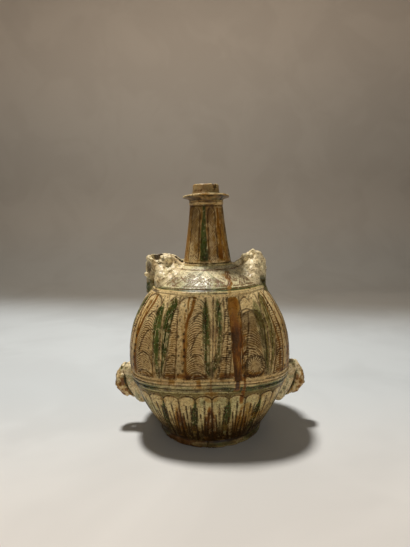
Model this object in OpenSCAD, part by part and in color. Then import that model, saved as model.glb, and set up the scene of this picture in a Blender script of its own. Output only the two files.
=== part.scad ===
// Pilgrim flask: a flattened round belly on a ring foot, a tall neck with a flange and a collar,
// and four pierced lugs. Each thrown or pressed clay member is a solid of its own.
// Millimetres, +Z up, the origin on the floor under the neck, the flat front towards -Y.

/* [Heights] */
// Height of the foot ring
foot_h = 11; // [8:0.5:16]
// Height of the lower bowl, from the foot ring to the waist joint
lower_h = 75; // [65:1:85]
// Height of the upper bowl, from the waist joint to the shoulder joint
upper_h = 111; // [100:1:125]
// Height of the shoulder dome, from the shoulder joint to the neck
dome_h = 27.5; // [22:0.5:34]
// Height of the neck, from the dome to the flange
neck_h = 88; // [75:0.5:105]
// Height of the mouth flange at the collar
flange_t = 4.5; // [3.5:0.1:6]
// Height of the mouth collar above the flange
collar_h = 13; // [10:0.5:18]

/* [Belly] */
// Width of the belly at its widest
belly_w = 213.6; // [200:0.2:232]
// Depth of the belly, front to back, at its widest
belly_d = 166; // [155:1:180]
// Height of the widest section above the waist joint
widest_rise = 20; // [14:1:28]
// Squareness of the widest section, where 2 is a plain ellipse
squareness = 2.9; // [2.2:0.1:3.4]
// Radius of the belly where it meets the foot ring
base_r = 70.4; // [66:0.2:75]
// Radius of the shoulder joint
shoulder_r = 73.6; // [68:0.2:76]
// Wall of the belly and the dome
wall = 5; // [4:0.5:7]
// Thickness of the floor
floor_t = 6; // [4:0.5:9]

/* [Foot and bands] */
// Outer radius of the foot ring
foot_r = 69.6; // [66:0.2:72]
// Width of the foot ring, outside to inside
foot_w = 11; // [8:0.5:14]
// Height of the waist band below the waist joint
band_below = 7.5; // [5:0.5:10]
// Height of the waist band above the waist joint
band_above = 5.5; // [4:0.5:8]
// How far the waist band stands proud
band_proud = 1.6; // [1:0.1:2.5]
// Height of the shoulder cordon on each side of its joint
cordon_half = 3; // [2:0.5:4]
// How far the shoulder cordon stands proud
cordon_proud = 1.4; // [1:0.1:2.2]

/* [Incised ornament] */
// Number of panels round the upper bowl
panels = 9; // [7:1:10]
// Number of petals round the lower bowl
petals = 30; // [24:1:34]
// Width of a main incised line
line_w = 2; // [1.4:0.1:2.6]
// Depth of a main incised line
line_depth = 0.8; // [0.4:0.1:1.2]
// Height of the plain margin above the waist band and under the shoulder cordon
margin_h = 2; // [1:0.5:3]
// Height of the plain margin between the heads of the petals and the waist band
petal_gap = 5.5; // [4:0.5:8]
// Height of the round head of a petal
petal_head_h = 6.5; // [4:0.5:8]

/* [Neck and mouth] */
// Outer radius of the neck at the dome
neck_base_r = 32.4; // [29:0.2:35]
// Outer radius of the neck at the flange
neck_top_r = 21.4; // [19.5:0.1:23]
// Wall of the neck
neck_wall = 5; // [4:0.5:6]
// Height of the ring under the flange
neck_ring_h = 9; // [6:0.5:12]
// How far that ring stands proud
neck_ring_proud = 0.9; // [0.6:0.1:1.6]
// Radius of the flange
flange_r = 31.1; // [27:0.1:35]
// How far the rim of the flange droops
flange_droop = 2.6; // [1:0.1:3.5]
// Thickness of the rim of the flange
flange_rim = 3; // [2:0.1:4]
// Outer radius of the mouth collar
collar_r = 18.1; // [16.5:0.1:19.5]
// Radius of the mouth bore
mouth_r = 12.5; // [11:0.1:13.5]

/* [Shoulder lugs] */
// How far the left strap bore stands outside the shoulder joint
strap_left_out = 0.4; // [-2:0.1:2.4]
// How far the right strap bore stands inside the shoulder joint
strap_right_in = 3.6; // [0:0.1:6]
// Radius of the strap bore
strap_r = 4.2; // [3.5:0.1:5]
// Wall round the strap bore
strap_wall = 5.3; // [4:0.1:6.5]
// Height of the left lug above the shoulder joint
lug_left_h = 42; // [38:0.5:46]
// Height of the right lug above the shoulder joint
lug_right_h = 45; // [40:0.5:50]
// Height of the gap under the outer lip of a lug, above the shoulder joint
lip_h = 11; // [9:0.5:14]
// Radius of the room under that lip
lip_room_r = 5.6; // [5.2:0.1:6.2]
// Length of a mask, along X
mask_l = 30; // [26:0.5:34]
// How far a mask stands out in front of its lug
mask_proud = 10; // [7:0.5:13]

/* [Side lugs] */
// How far the middle of a side lug lies inside the side of the widest section
ear_inset = 1.5; // [0:0.1:4]
// Depth of the middle of a side lug below the waist joint
ear_drop = 18.5; // [15:0.5:23]
// Radius of a side lug, seen from the front
ear_r = 25.5; // [23:0.5:28]
// Thickness of a side lug, front to back
ear_t = 27; // [22:0.5:32]
// Distance of the side strap bore from the middle of its lug
side_strap_out = 7.7; // [7.3:0.1:8.7]
// Radius of the side strap bore
side_strap_r = 3.8; // [3:0.1:4.2]
// Distance of the joint with the boss from the middle of a side lug
boss_out = 13.7; // [13.3:0.1:15.7]

/* [Hidden] */
$fn = 96;

// Heights of the joints, from the floor up
waist_z = foot_h + lower_h;
shoulder_z = waist_z + upper_h;
neck_z = shoulder_z + dome_h;
flange_z = neck_z + neck_h;
collar_z = flange_z + flange_t;
top_z = collar_z + collar_h;
widest_z = waist_z + widest_rise;

// Places of the shoulder lugs' strap bores, and the radius of the post round them
strap_left_x = shoulder_r + strap_left_out;
strap_right_x = shoulder_r - strap_right_in;
post_r = strap_r + strap_wall;

// Middle of a side lug, its strap bore and its joint with the boss
ear_x = belly_w / 2 - ear_inset;
ear_z = waist_z - ear_drop;
side_strap_x = ear_x + side_strap_out;
boss_x = ear_x + boss_out;

// Sides of the waist band, and rows of points over the panels, down the petals and inside the bowls
sides = 144;
rows = 11;
petal_rows = 6;
inner_rows = 6;

// How full each curve runs between the widest section and its end
lower_fullness = 1.7;
upper_fullness = 2.35;
depth_fullness = 2.6;
neck_flare = 1.45;
// How steeply the upper bowl runs into the dome, and where the dome's curve turns
dome_lean = 0.88;
dome_turn = 0.467;

// A small clearance between curved faces that lie on each other
skin = 0.1;

// Share of the way from the widest section to the end of its bowl
function reach(z) = z < widest_z ? (widest_z - z) / (widest_z - foot_h)
                                 : (z - widest_z) / (shoulder_z - widest_z);
function swell(z, end, middle, fullness) = end + (middle - end) * (1 - pow(reach(z), fullness));

// Half width, half depth and squareness of the belly at a height
function half_w(z) = z < widest_z ? swell(z, base_r, belly_w / 2, lower_fullness)
                                  : swell(z, shoulder_r, belly_w / 2, upper_fullness);
function half_d(z) = z < widest_z ? swell(z, base_r, belly_d / 2, lower_fullness)
                                  : swell(z, shoulder_r, belly_d / 2, depth_fullness);
function power(z) = 2 + (squareness - 2) * (1 - pow(reach(z), 2));

// One point of the section at a height, at an angle, moved out by a distance
function section_r(a, b, n, angle) =
    1 / pow(pow(abs(cos(angle)) / a, n) + pow(abs(sin(angle)) / b, n), 1 / n);
function belly_point(z, angle, out) =
    let (r = section_r(half_w(z) + out, half_d(z) + out, power(z), angle))
    [r * cos(angle), r * sin(angle), z];
function belly_ring(z, out) = [for (i = [0 : sides - 1]) belly_point(z, i * 360 / sides, out)];
function between(low, high, count) = [for (i = [0 : count]) low + (high - low) * i / count];

// The girth is the length round the widest section. A share of it, from the middle of the front,
// gives the angle at which a line of the ornament stands.
front = -90;
turn_steps = 180;
function turned(i) = belly_point(widest_z, front + i * 360 / turn_steps, 0);
girth_run = [for (i = 0, run = 0; i <= turn_steps; run = run + norm(turned(i + 1) - turned(i)), i = i + 1) run];
girth = girth_run[turn_steps];
girth_table = [for (i = [0 : turn_steps]) [girth_run[i], front + i * 360 / turn_steps]];
function angle_at(share) = lookup((share - floor(share)) * girth, girth_table);

// A ring through columns that each have a share of the girth and a share of a line's depth
function cut_ring(columns, z, depth) =
    [for (column = columns) belly_point(z, angle_at(column[0]), -depth * column[1])];
function plain_ring(columns, z, out) = [for (column = columns) belly_point(z, angle_at(column[0]), out)];

// Panels of the upper bowl. The stems between them stray a little from even spacing, as drawn by hand.
panel_low = waist_z + band_above + margin_h;
panel_high = shoulder_z - cordon_half - margin_h / 2;
stem_shift = -0.1015;
stem_stray = 0.056;
function stem_at(k) = stem_shift + (k + stem_stray * cos(360 * round(panels / 3) * k / panels)) / panels;

// Main lines of a panel: the stem, the left leaf, the beaded border, the ochre strip and the right
// leaf. Each has its place at the foot and at the head, as shares of the panel's width, and its bow.
line_foot = [-0.03, 0.05, 0.26, 0.47, 0.86];
line_head = [0.03, 0.22, 0.31, 0.55, 0.88];
line_bow = [0, 0.04, 0.04, -0.01, 0];
fillers = [0, 1, 1, 2, 0];
function line_at(i, v) = line_foot[i] + (line_head[i] - line_foot[i]) * v + line_bow[i] * sin(180 * v);
function panel_columns(v) =
    let (half = panels * line_w / 2 / girth, last = len(line_foot) - 1)
    [for (k = [0 : panels - 1]) for (i = [0 : last])
        let (start = stem_at(k), w = stem_at(k + 1) - start, at = line_at(i, v),
             next = i < last ? line_at(i + 1, v) : 1 + line_at(0, v),
             places = concat([[at - half, 0], [at, 1], [at + half, 0]],
                             [for (j = [1 : 1 : fillers[i]]) [at + (next - at) * j / (fillers[i] + 1), 0]]))
        for (place = places) [start + place[0] * w, place[1]]];
function panel_ring(z) =
    let (v = min(1, max(0, (z - panel_low) / (panel_high - panel_low))))
    cut_ring(panel_columns(v), z, v > 0 && v < 1 ? line_depth : 0);

// Petals of the lower bowl: a line runs down each seam, and one runs over their round heads
petal_z = waist_z - band_below - petal_gap;
petal_shift = 0.07;
petal_columns = [for (k = [0 : petals - 1])
    let (half = petals * line_w / 2 / girth)
    for (place = [[-half, 0], [0, 1], [half, 0], [1 / 4, 0], [1 / 2, 0], [3 / 4, 0]])
        [(k + place[0] + petal_shift) / petals, place[1], 2 * abs(place[0] - 1 / 2)]];
function head_z(column) = petal_z - petal_head_h * (1 - sqrt(1 - pow(min(1, column[2]), 2)));
function petal_ring(share) =
    [for (column = petal_columns)
        belly_point(foot_h + share * (head_z(column) - line_w / 2 - foot_h), angle_at(column[0]),
                    share > 0 ? -line_depth * column[1] : 0)];
function head_ring(rise, depth) =
    [for (column = petal_columns) belly_point(head_z(column) + rise, angle_at(column[0]), -depth)];

// Profile of the shoulder dome from its rim to the neck, as a curve of the second degree
dome_steps = 16;
dome_rim = [shoulder_r, shoulder_z];
dome_knee = [shoulder_r - dome_lean * dome_turn * dome_h, shoulder_z + dome_turn * dome_h];
dome_top = [neck_base_r + 0.6, neck_z];
function dome_at(t) = pow(1 - t, 2) * dome_rim + 2 * t * (1 - t) * dome_knee + t * t * dome_top;
dome_curve = [for (i = [0 : dome_steps]) dome_at(i / dome_steps)];

// Profile of the neck
neck_steps = 14;
function neck_r(z) = neck_top_r + (neck_base_r - neck_top_r) * pow(1 - (z - neck_z) / neck_h, neck_flare);

// An arc of a circle, as points
function arc(cx, cz, r, from, to, steps = 8) =
    [for (i = [0 : steps]) let (a = from + (to - from) * i / steps) [cx + r * cos(a), cz + r * sin(a)]];

// A closed skin through stacked rings that all have the same number of points.
// With loop, the last ring joins the first; otherwise both end rings are closed by a flat face.
module stacked(rings, loop) {
    n = len(rings[0]);
    m = len(rings);
    points = [for (ring = rings) each ring];
    last = loop ? m - 1 : m - 2;
    skin_faces = [for (j = [0 : last]) for (i = [0 : n - 1])
        let (k = (j + 1) % m, h = (i + 1) % n)
        each [[j * n + i, k * n + i, k * n + h], [j * n + i, k * n + h, j * n + h]]];
    end_faces = loop ? [] : [[for (i = [0 : n - 1]) i], [for (i = [n - 1 : -1 : 0]) (m - 1) * n + i]];
    polyhedron(points, concat(skin_faces, end_faces), convexity = 6);
}

// Solid of revolution of the dome's outside, used to seat what stands on it
module dome_block() {
    rotate_extrude()
        polygon(concat([[0, foot_h], [shoulder_r, foot_h]], dome_curve, [[0, neck_z]]));
}

module foot_ring() {
    inner_r = foot_r - foot_w;
    sole_round = 2.2;
    bevel = 1.2;
    neck_in = 1.3;
    color("darkolivegreen")
    rotate_extrude()
        polygon(concat(
            [[inner_r, foot_h], [inner_r, bevel], [inner_r + bevel, 0]],
            arc(foot_r - sole_round, sole_round, sole_round, -90, 0),
            [[foot_r, foot_h / 2], [foot_r - neck_in, foot_h]]));
}

module lower_belly() {
    start = 0.05;
    tongues = concat([petal_ring(0)], [for (share = between(start, 1, petal_rows)) petal_ring(share)]);
    heads = [head_ring(0, line_depth), head_ring(line_w / 2, 0)];
    plain = [for (z = [waist_z - band_below, waist_z]) plain_ring(petal_columns, z, 0)];
    inner = [for (z = between(waist_z, foot_h + floor_t, inner_rows)) plain_ring(petal_columns, z, -wall)];
    color("burlywood")
    stacked(concat(tongues, heads, plain, inner), false);
}

module upper_belly() {
    lines = [for (z = between(panel_low + line_w / 2, panel_high - line_w / 2, rows)) panel_ring(z)];
    outer = concat([panel_ring(waist_z), panel_ring(panel_low)], lines,
                   [panel_ring(panel_high), panel_ring(shoulder_z)]);
    inner = [for (z = between(shoulder_z, waist_z, inner_rows)) plain_ring(panel_columns(1 / 2), z, -wall)];
    color("wheat")
    stacked(concat(outer, inner), true);
}

module waist_band() {
    low = waist_z - band_below;
    high = waist_z + band_above;
    edge = band_proud / 2;
    color("yellowgreen")
    stacked([belly_ring(low, skin), belly_ring(low + edge, band_proud), belly_ring(waist_z - edge, band_proud),
             belly_ring(waist_z, band_proud - edge), belly_ring(waist_z + edge, band_proud),
             belly_ring(high - edge, band_proud), belly_ring(high, skin), belly_ring(waist_z, skin)], true);
}

module shoulder_dome() {
    inside = [for (i = [dome_steps : -1 : 0]) dome_curve[i] - [wall, i == 0 ? 0 : wall * i / dome_steps]];
    color("cornsilk")
    rotate_extrude()
        polygon(concat(dome_curve, [[neck_base_r - neck_wall, neck_z]], inside));
}

module shoulder_cordon() {
    crown_r = shoulder_r + cordon_proud;
    color("yellowgreen")
    rotate_extrude()
        polygon([[half_w(shoulder_z - cordon_half) + skin, shoulder_z - cordon_half],
                 [crown_r + cordon_proud * 0.9, shoulder_z - cordon_half * 0.6],
                 [crown_r, shoulder_z + cordon_half * 0.3],
                 [shoulder_r - dome_lean * cordon_half + skin, shoulder_z + cordon_half],
                 [shoulder_r + skin, shoulder_z]]);
}

module neck() {
    outer = [for (z = between(neck_z, flange_z, neck_steps)) [neck_r(z), z]];
    inner = [for (z = between(flange_z, neck_z, neck_steps)) [neck_r(z) - neck_wall, z]];
    color("peru")
    rotate_extrude()
        polygon(concat(outer, inner));
}

module neck_ring() {
    low = flange_z - neck_ring_h;
    edge = neck_ring_proud;
    color("tan")
    rotate_extrude()
        polygon([[neck_r(low) + skin, low], [neck_r(low) + neck_ring_proud, low + edge],
                 [neck_r(flange_z) + neck_ring_proud, flange_z - edge], [neck_r(flange_z) + skin, flange_z]]);
}

module mouth_flange() {
    lip = flange_rim / 2;
    rim_z = flange_z + lip - flange_droop;
    color("darkkhaki")
    rotate_extrude()
        polygon(concat(
            [[mouth_r, flange_z], [neck_top_r + neck_ring_proud, flange_z]],
            arc(flange_r - lip, rim_z, lip, -90, 90, 10),
            [[collar_r, collar_z], [mouth_r, collar_z]]));
}

module mouth_collar() {
    lip = 1.6;
    lean = 1.2;
    color("darkkhaki")
    rotate_extrude()
        polygon(concat(
            [[mouth_r, collar_z], [collar_r, collar_z], [collar_r, collar_z + collar_h / 2]],
            arc(collar_r - lean - lip, top_z - lip, lip, 0, 90, 6),
            arc(mouth_r + lip / 2, top_z - lip / 2, lip / 2, 90, 180, 4)));
}

// Room for the shoulder cordon
module cordon_room() {
    translate([0, 0, shoulder_z - cordon_half])
        cylinder(r = shoulder_r + 2 * cordon_proud, h = 2 * cordon_half + skin);
}

// Skirt under the outer lip of a shoulder lug: a part of a tube that is open to the front
module lip_skirt() {
    open_x = 0.45 * post_r;
    low = shoulder_z;
    difference() {
        translate([0, 0, low])
            cylinder(r = post_r, h = lip_h);
        translate([0, 0, low - 1])
            cylinder(r = lip_room_r, h = lip_h + 1);
        translate([-2 * post_r, -post_r, low - 1])
            cube([2 * post_r + open_x, post_r, lip_h + 1]);
        translate([-2 * post_r, -post_r, low - 1])
            cube([2 * post_r, 2 * post_r, lip_h + 1]);
    }
}

// Lug on the right of the shoulder: a post with the strap bore, the skirt under it, and a web
// that runs down to the foot of the neck and has a pocket in its front
module shoulder_lug(strap_x, height) {
    top = shoulder_z + height;
    crown = 2;
    root_x = neck_base_r + 1;
    pocket_r = 5;
    pocket = [root_x + 11, -6, neck_z - 4];
    difference() {
        union() {
            translate([strap_x, 0, shoulder_z + lip_h])
                cylinder(r = post_r, h = height - lip_h - crown);
            translate([strap_x, 0, 0])
                lip_skirt();
            rotate([90, 0, 0])
                linear_extrude(2 * post_r, center = true)
                    polygon([[root_x, shoulder_z], [strap_x - post_r, shoulder_z - cordon_half],
                             [strap_x - lip_room_r, shoulder_z + lip_h], [strap_x, shoulder_z + lip_h],
                             [strap_x, top - crown], [strap_x - 12, top], [strap_x - 24, top - 5],
                             [root_x + 6, neck_z + 6], [root_x, neck_z + 1]]);
        }
        translate([strap_x, 0, shoulder_z])
            cylinder(r = strap_r, h = height);
        translate(pocket)
            cylinder(r = pocket_r, h = height);
        dome_block();
        cordon_room();
    }
}

// Mask on the front of a shoulder lug: cheeks, a snout and two ears
module shoulder_mask(strap_x, height) {
    front = -post_r;
    cheek_r = mask_l / 2;
    snout_r = cheek_r / 3;
    ear_gap = 0.6 * cheek_r;
    middle = [strap_x - cheek_r + 2, shoulder_z + height - cheek_r - 2];
    difference() {
        translate([middle[0], front, middle[1]])
            union() {
                translate([0, cheek_r - mask_proud, 0])
                    sphere(r = cheek_r);
                translate([-snout_r / 2, snout_r / 2 - mask_proud, -snout_r / 2])
                    sphere(r = snout_r);
                for (side = [-1, 1])
                    translate([side * ear_gap, -snout_r / 2, cheek_r - snout_r])
                        sphere(r = snout_r);
            }
        translate([0, front, 0])
            cube([belly_w, belly_d, top_z]);
        dome_block();
        cordon_room();
    }
}

// Ear-shaped solid of a side lug with its boss: a disc with a round rim, facing front and back
module ear() {
    rim = ear_t / 2;
    flat_r = ear_r - rim;
    translate([ear_x, 0, ear_z])
        rotate([90, 0, 0])
            rotate_extrude()
                difference() {
                    union() {
                        translate([flat_r, 0])
                            circle(r = rim);
                        translate([0, -rim])
                            square([flat_r, ear_t]);
                    }
                    translate([-2 * ear_r, -ear_t])
                        square([2 * ear_r, 2 * ear_t]);
                }
}

// Slab between the side of the belly, with the waist band on it, and the joint with the boss
module side_slab() {
    low = ear_z - ear_r - 1;
    high = ear_z + ear_r + 1;
    band = [waist_z - band_below, waist_z + band_above];
    below = [for (z = between(low, band[0], 8)) [half_w(z) + skin, z]];
    proud = [for (z = band) [half_w(z) + band_proud + skin, z]];
    above = [for (z = between(band[1], high, 4)) [half_w(z) + skin, z]];
    rotate([90, 0, 0])
        linear_extrude(2 * ear_t, center = true)
            polygon(concat(below, proud, above, [[boss_x, high], [boss_x, low]]));
}

module side_lug() {
    difference() {
        intersection() {
            ear();
            side_slab();
        }
        translate([side_strap_x, 0, foot_h])
            cylinder(r = side_strap_r, h = shoulder_z);
    }
}

module side_mask() {
    intersection() {
        ear();
        translate([boss_x, -ear_t, foot_h])
            cube([2 * ear_r, 2 * ear_t, shoulder_z]);
    }
}

module shoulder_lug_left() {
    color("wheat")
    mirror([1, 0, 0])
        shoulder_lug(strap_left_x, lug_left_h);
}

module shoulder_lug_right() {
    color("wheat")
    shoulder_lug(strap_right_x, lug_right_h);
}

module shoulder_mask_left() {
    color("cornsilk")
    mirror([1, 0, 0])
        shoulder_mask(strap_left_x, lug_left_h);
}

module shoulder_mask_right() {
    color("cornsilk")
    shoulder_mask(strap_right_x, lug_right_h);
}

module side_lug_left() {
    color("burlywood")
    mirror([1, 0, 0])
        side_lug();
}

module side_lug_right() {
    color("burlywood")
    side_lug();
}

module side_mask_left() {
    color("sienna")
    mirror([1, 0, 0])
        side_mask();
}

module side_mask_right() {
    color("sienna")
    side_mask();
}

foot_ring();
lower_belly();
waist_band();
upper_belly();
shoulder_cordon();
shoulder_dome();
neck();
neck_ring();
mouth_flange();
mouth_collar();
shoulder_lug_left();
shoulder_lug_right();
shoulder_mask_left();
shoulder_mask_right();
side_lug_left();
side_lug_right();
side_mask_left();
side_mask_right();
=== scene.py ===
"""Dresses the pilgrim flask: incised slipware under green, amber and clear lead glaze.

Every thrown member is a closed grid of points, worked out as whole arrays in millimetres: its outside
carries the incised lines as real grooves, and smooth fields that the glazes read are kept with the points.
The broken lugs are skins of distance fields. The front faces -Y, and shares of the way round start there.
"""
import math

import bpy
import numpy as np
from mathutils import Euler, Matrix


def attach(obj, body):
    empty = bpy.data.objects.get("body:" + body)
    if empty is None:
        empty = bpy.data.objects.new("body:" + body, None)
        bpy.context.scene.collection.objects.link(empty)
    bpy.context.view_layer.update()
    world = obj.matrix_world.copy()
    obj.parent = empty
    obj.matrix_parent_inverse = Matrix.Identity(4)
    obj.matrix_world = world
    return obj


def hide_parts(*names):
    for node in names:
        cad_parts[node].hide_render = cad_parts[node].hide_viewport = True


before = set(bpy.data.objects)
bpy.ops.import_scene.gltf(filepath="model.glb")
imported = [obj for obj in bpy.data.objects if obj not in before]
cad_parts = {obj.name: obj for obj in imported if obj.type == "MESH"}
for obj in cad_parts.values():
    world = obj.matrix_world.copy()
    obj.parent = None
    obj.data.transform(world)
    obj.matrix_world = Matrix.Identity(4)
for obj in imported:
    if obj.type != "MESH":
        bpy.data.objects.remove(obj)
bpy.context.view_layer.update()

# Heights of the joints, in millimetres from the floor
FOOT_Z, WAIST_Z, WIDEST_Z, SHOULDER_Z, NECK_Z = 11.0, 86.0, 106.0, 197.0, 224.5
FLANGE_Z, COLLAR_Z, TOP_Z = 312.5, 317.0, 330.0
# Belly: half width and half depth at the widest, radii of its two ends, squareness and wall
BELLY_A, BELLY_B, BASE_R, SHOULDER_R, SQUARENESS, WALL = 106.8, 83.0, 70.4, 73.6, 2.9, 5.0
FOOT_R, FOOT_WIDTH = 69.6, 11.0
NECK_BASE_R, NECK_TOP_R, NECK_WALL = 32.4, 21.4, 5.0
FLANGE_R, COLLAR_R, MOUTH_R = 31.1, 18.1, 12.5
PANEL_LOW, PANEL_HIGH = 93.5, 193.0
PETALS, PETAL_Z, PETAL_HEAD = 30, 73.0, 6.5


# Shape of the belly

def reach(z):
    """Share of the way from the widest section to the end of its bowl."""
    below = (WIDEST_Z - z) / (WIDEST_Z - FOOT_Z)
    above = (z - WIDEST_Z) / (SHOULDER_Z - WIDEST_Z)
    return np.clip(np.where(z < WIDEST_Z, below, above), 0, 1)


def half_width(z):
    """Half the belly's width: an end radius plus a swell that falls off by a power of the reach."""
    end = np.where(z < WIDEST_Z, BASE_R, SHOULDER_R)
    return end + (BELLY_A - end) * (1 - reach(z) ** np.where(z < WIDEST_Z, 1.7, 2.35))


def half_depth(z):
    """Half the belly's depth, in the same way."""
    end = np.where(z < WIDEST_Z, BASE_R, SHOULDER_R)
    return end + (BELLY_B - end) * (1 - reach(z) ** np.where(z < WIDEST_Z, 1.7, 2.6))


def section_radius(z, angle, out=0.0):
    """Radius of a flattened section: a superellipse whose power fades to a circle's at both ends."""
    power = 2 + (SQUARENESS - 2) * (1 - reach(z) ** 2)
    a, b = half_width(z) + out, half_depth(z) + out
    return ((np.abs(np.cos(angle)) / a) ** power + (np.abs(np.sin(angle)) / b) ** power) ** (-1 / power)


_turn = np.linspace(-math.pi / 2, 1.5 * math.pi, 8001)
_edge = section_radius(np.array(WIDEST_Z), _turn)
_steps = np.hypot(np.diff(_edge * np.cos(_turn)), np.diff(_edge * np.sin(_turn)))
_run = np.concatenate([[0], np.cumsum(_steps)])
GIRTH = float(_run[-1])


def angle_at(share):
    """Angle from +X at a share of the way round the widest section, from the middle of the front."""
    return np.interp(np.mod(share, 1.0) * GIRTH, _run, _turn)


def girth_at(z):
    """Length once round the belly at a height, near enough for measuring ornament."""
    return GIRTH * (half_width(z) + half_depth(z)) / (BELLY_A + BELLY_B)


# Irregularities of handwork

def patchy(share, z, round_cells, up_size, seed):
    """Smooth random relief from -1 to 1 on a lattice that closes on itself round the flask."""
    rng = np.random.default_rng(seed)
    rows = 64
    lattice = rng.uniform(-1, 1, (rows, round_cells))
    u = np.mod(share, 1.0) * round_cells
    v = np.mod(z / up_size, rows)
    i, j = np.floor(u).astype(int), np.floor(v).astype(int)
    fu, fv = u - i, v - j
    fu, fv = fu * fu * (3 - 2 * fu), fv * fv * (3 - 2 * fv)
    i0, i1, j0, j1 = i % round_cells, (i + 1) % round_cells, j % rows, (j + 1) % rows
    low = lattice[j0, i0] * (1 - fu) + lattice[j0, i1] * fu
    high = lattice[j1, i0] * (1 - fu) + lattice[j1, i1] * fu
    return low * (1 - fv) + high * fv


def lumpy(points, size, seed):
    """Smooth random relief from -1 to 1 in space, on a lattice of that size in millimetres."""
    rng = np.random.default_rng(seed)
    cells = 32
    lattice = rng.uniform(-1, 1, (cells, cells, cells))
    q = np.mod(points / size, cells)
    base = np.floor(q).astype(int)
    f = q - base
    f = f * f * (3 - 2 * f)
    total = 0
    for dx in (0, 1):
        for dy in (0, 1):
            for dz in (0, 1):
                weight = (np.where(dx, f[..., 0], 1 - f[..., 0]) * np.where(dy, f[..., 1], 1 - f[..., 1])
                          * np.where(dz, f[..., 2], 1 - f[..., 2]))
                total = total + weight * lattice[(base[..., 0] + dx) % cells, (base[..., 1] + dy) % cells,
                                                 (base[..., 2] + dz) % cells]
    return total


def ease(value, low, high):
    """Runs smoothly from 0 at low to 1 at high."""
    t = np.clip((value - low) / (high - low), 0, 1)
    return t * t * (3 - 2 * t)


def groove(distance, width, depth):
    """Depth of a round-bottomed cut at a distance from its middle line."""
    return depth * np.exp(-(distance / (0.5 * width)) ** 2)


# Meshes

def put_mesh(name, points, quads, fields=None):
    """A mesh object from points in millimetres and quads, with a smooth shade and its fields."""
    mesh = bpy.data.meshes.new(name)
    mesh.vertices.add(len(points))
    mesh.vertices.foreach_set("co", (points * 0.001).astype(np.float32).ravel())
    mesh.loops.add(quads.size)
    mesh.loops.foreach_set("vertex_index", quads.astype(np.int32).ravel())
    mesh.polygons.add(len(quads))
    mesh.polygons.foreach_set("loop_start", np.arange(0, quads.size, 4, dtype=np.int32))
    mesh.polygons.foreach_set("use_smooth", np.ones(len(quads), dtype=bool))
    mesh.update(calc_edges=True)
    mesh.validate()
    for key in FIELDS if fields else ():
        mesh.attributes.new(key, "FLOAT", "POINT").data.foreach_set("value", fields[key].astype(np.float32).ravel())
    piece = bpy.data.objects.new(name, mesh)
    bpy.context.collection.objects.link(piece)
    return piece


def ring_shell(name, radius, z, angle, fields=None):
    """A closed shell: each row is a ring of points at a radius for each angle, and the rows join in a loop."""
    rows, columns = radius.shape
    points = np.stack([radius * np.cos(angle), radius * np.sin(angle), np.broadcast_to(z, radius.shape)], -1)
    index = np.arange(rows * columns).reshape(rows, columns)
    right, up = np.roll(index, -1, 1), np.roll(index, -1, 0)
    quads = np.stack([index, right, np.roll(right, -1, 0), up], -1).reshape(-1, 4)
    return put_mesh(name, points.reshape(-1, 3), quads, fields)


def finish_piece(piece, node, material):
    """Rides the piece on the body, hides the solid it stands for and glazes it."""
    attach(piece, "root")
    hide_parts(*([node] if isinstance(node, str) else node))
    piece.data.materials.append(material)
    return piece


# Ornament fields: each is an array over rows of heights and columns of shares

FIELDS = ("line", "comb", "combed", "green", "amber", "pale", "dark")


def blank(shape):
    """Fields with no line near, no combing and no colour."""
    values = {key: np.zeros(shape) for key in FIELDS}
    values["line"] = np.full(shape, 9.0)
    values["cut"] = np.zeros(shape)
    return values


def draw(values, distance, where=None, depth=0.4, width=1.4):
    """Adds an incised line of that depth and width, kept to the places where it is drawn."""
    kept = np.ones_like(values["line"]) if where is None else where
    values["cut"] = np.maximum(values["cut"], groove(distance, width, depth) * kept)
    values["line"] = np.minimum(values["line"], distance + 9.0 * (1 - kept))


# Incised lines of the upper bowl. The main lines stand where the solids have them.

PANELS, LINE_DEPTH = 9, 0.8
STEMS = -0.1015 + (np.arange(10) + 0.056 * np.cos(2 * np.pi * np.arange(10) / 3)) / PANELS
LINE_FOOT = np.array([-0.03, 0.05, 0.26, 0.47, 0.86, 0.97])
LINE_HEAD = np.array([0.03, 0.22, 0.31, 0.55, 0.88, 1.03])
LINE_BOW = np.array([0, 0.04, 0.04, -0.01, 0, 0])


def line_at(i, v):
    """Place of a panel's main line, as a share of the panel's width, at a share of its height."""
    return LINE_FOOT[i] + (LINE_HEAD[i] - LINE_FOOT[i]) * v + LINE_BOW[i] * np.sin(np.pi * v)


def panel_place(share, z):
    """Panel number, its width, the share of it passed, and the same counted from main line to main line."""
    v = np.clip((z - PANEL_LOW) / (PANEL_HIGH - PANEL_LOW), 0, 1)
    lean = line_at(0, v)
    width = np.diff(STEMS)
    s = np.mod(share + 0.5, 1.0) - 0.5 + 0 * z
    s = np.where(s < STEMS[0] + lean * width[0], s + 1, s)
    number = sum((s >= STEMS[k] + lean * width[k]).astype(int) for k in range(1, PANELS))
    f = (s - STEMS[number]) / width[number]
    edges = [line_at(i, v) for i in range(6)]
    along = sum(np.clip((f - edges[i]) / (edges[i + 1] - edges[i]), 0, 1) for i in range(5))
    return number, width[number] * GIRTH, f, along, v


def smooth_line(points, rounds=2):
    """A line through given points, with its corners cut so that it runs smoothly."""
    line = np.array(points, float)
    for _ in range(rounds):
        a, b = line[:-1], line[1:]
        inner = np.stack([0.75 * a + 0.25 * b, 0.25 * a + 0.75 * b], 1).reshape(-1, 2)
        line = np.concatenate([line[:1], inner, line[-1:]])
    return line


def laid_out(line):
    """Turns places counted in main lines, with heights, into millimetres across a panel."""
    v = np.clip((line[:, 1] - PANEL_LOW) / (PANEL_HIGH - PANEL_LOW), 0, 1)
    i = np.clip(np.floor(line[:, 0]).astype(int), 0, 4)
    start, end = line_at(i, v), line_at(i + 1, v)
    f = start + (end - start) * (line[:, 0] - i)
    return np.stack([f * GIRTH / PANELS, line[:, 1]], -1)


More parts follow.
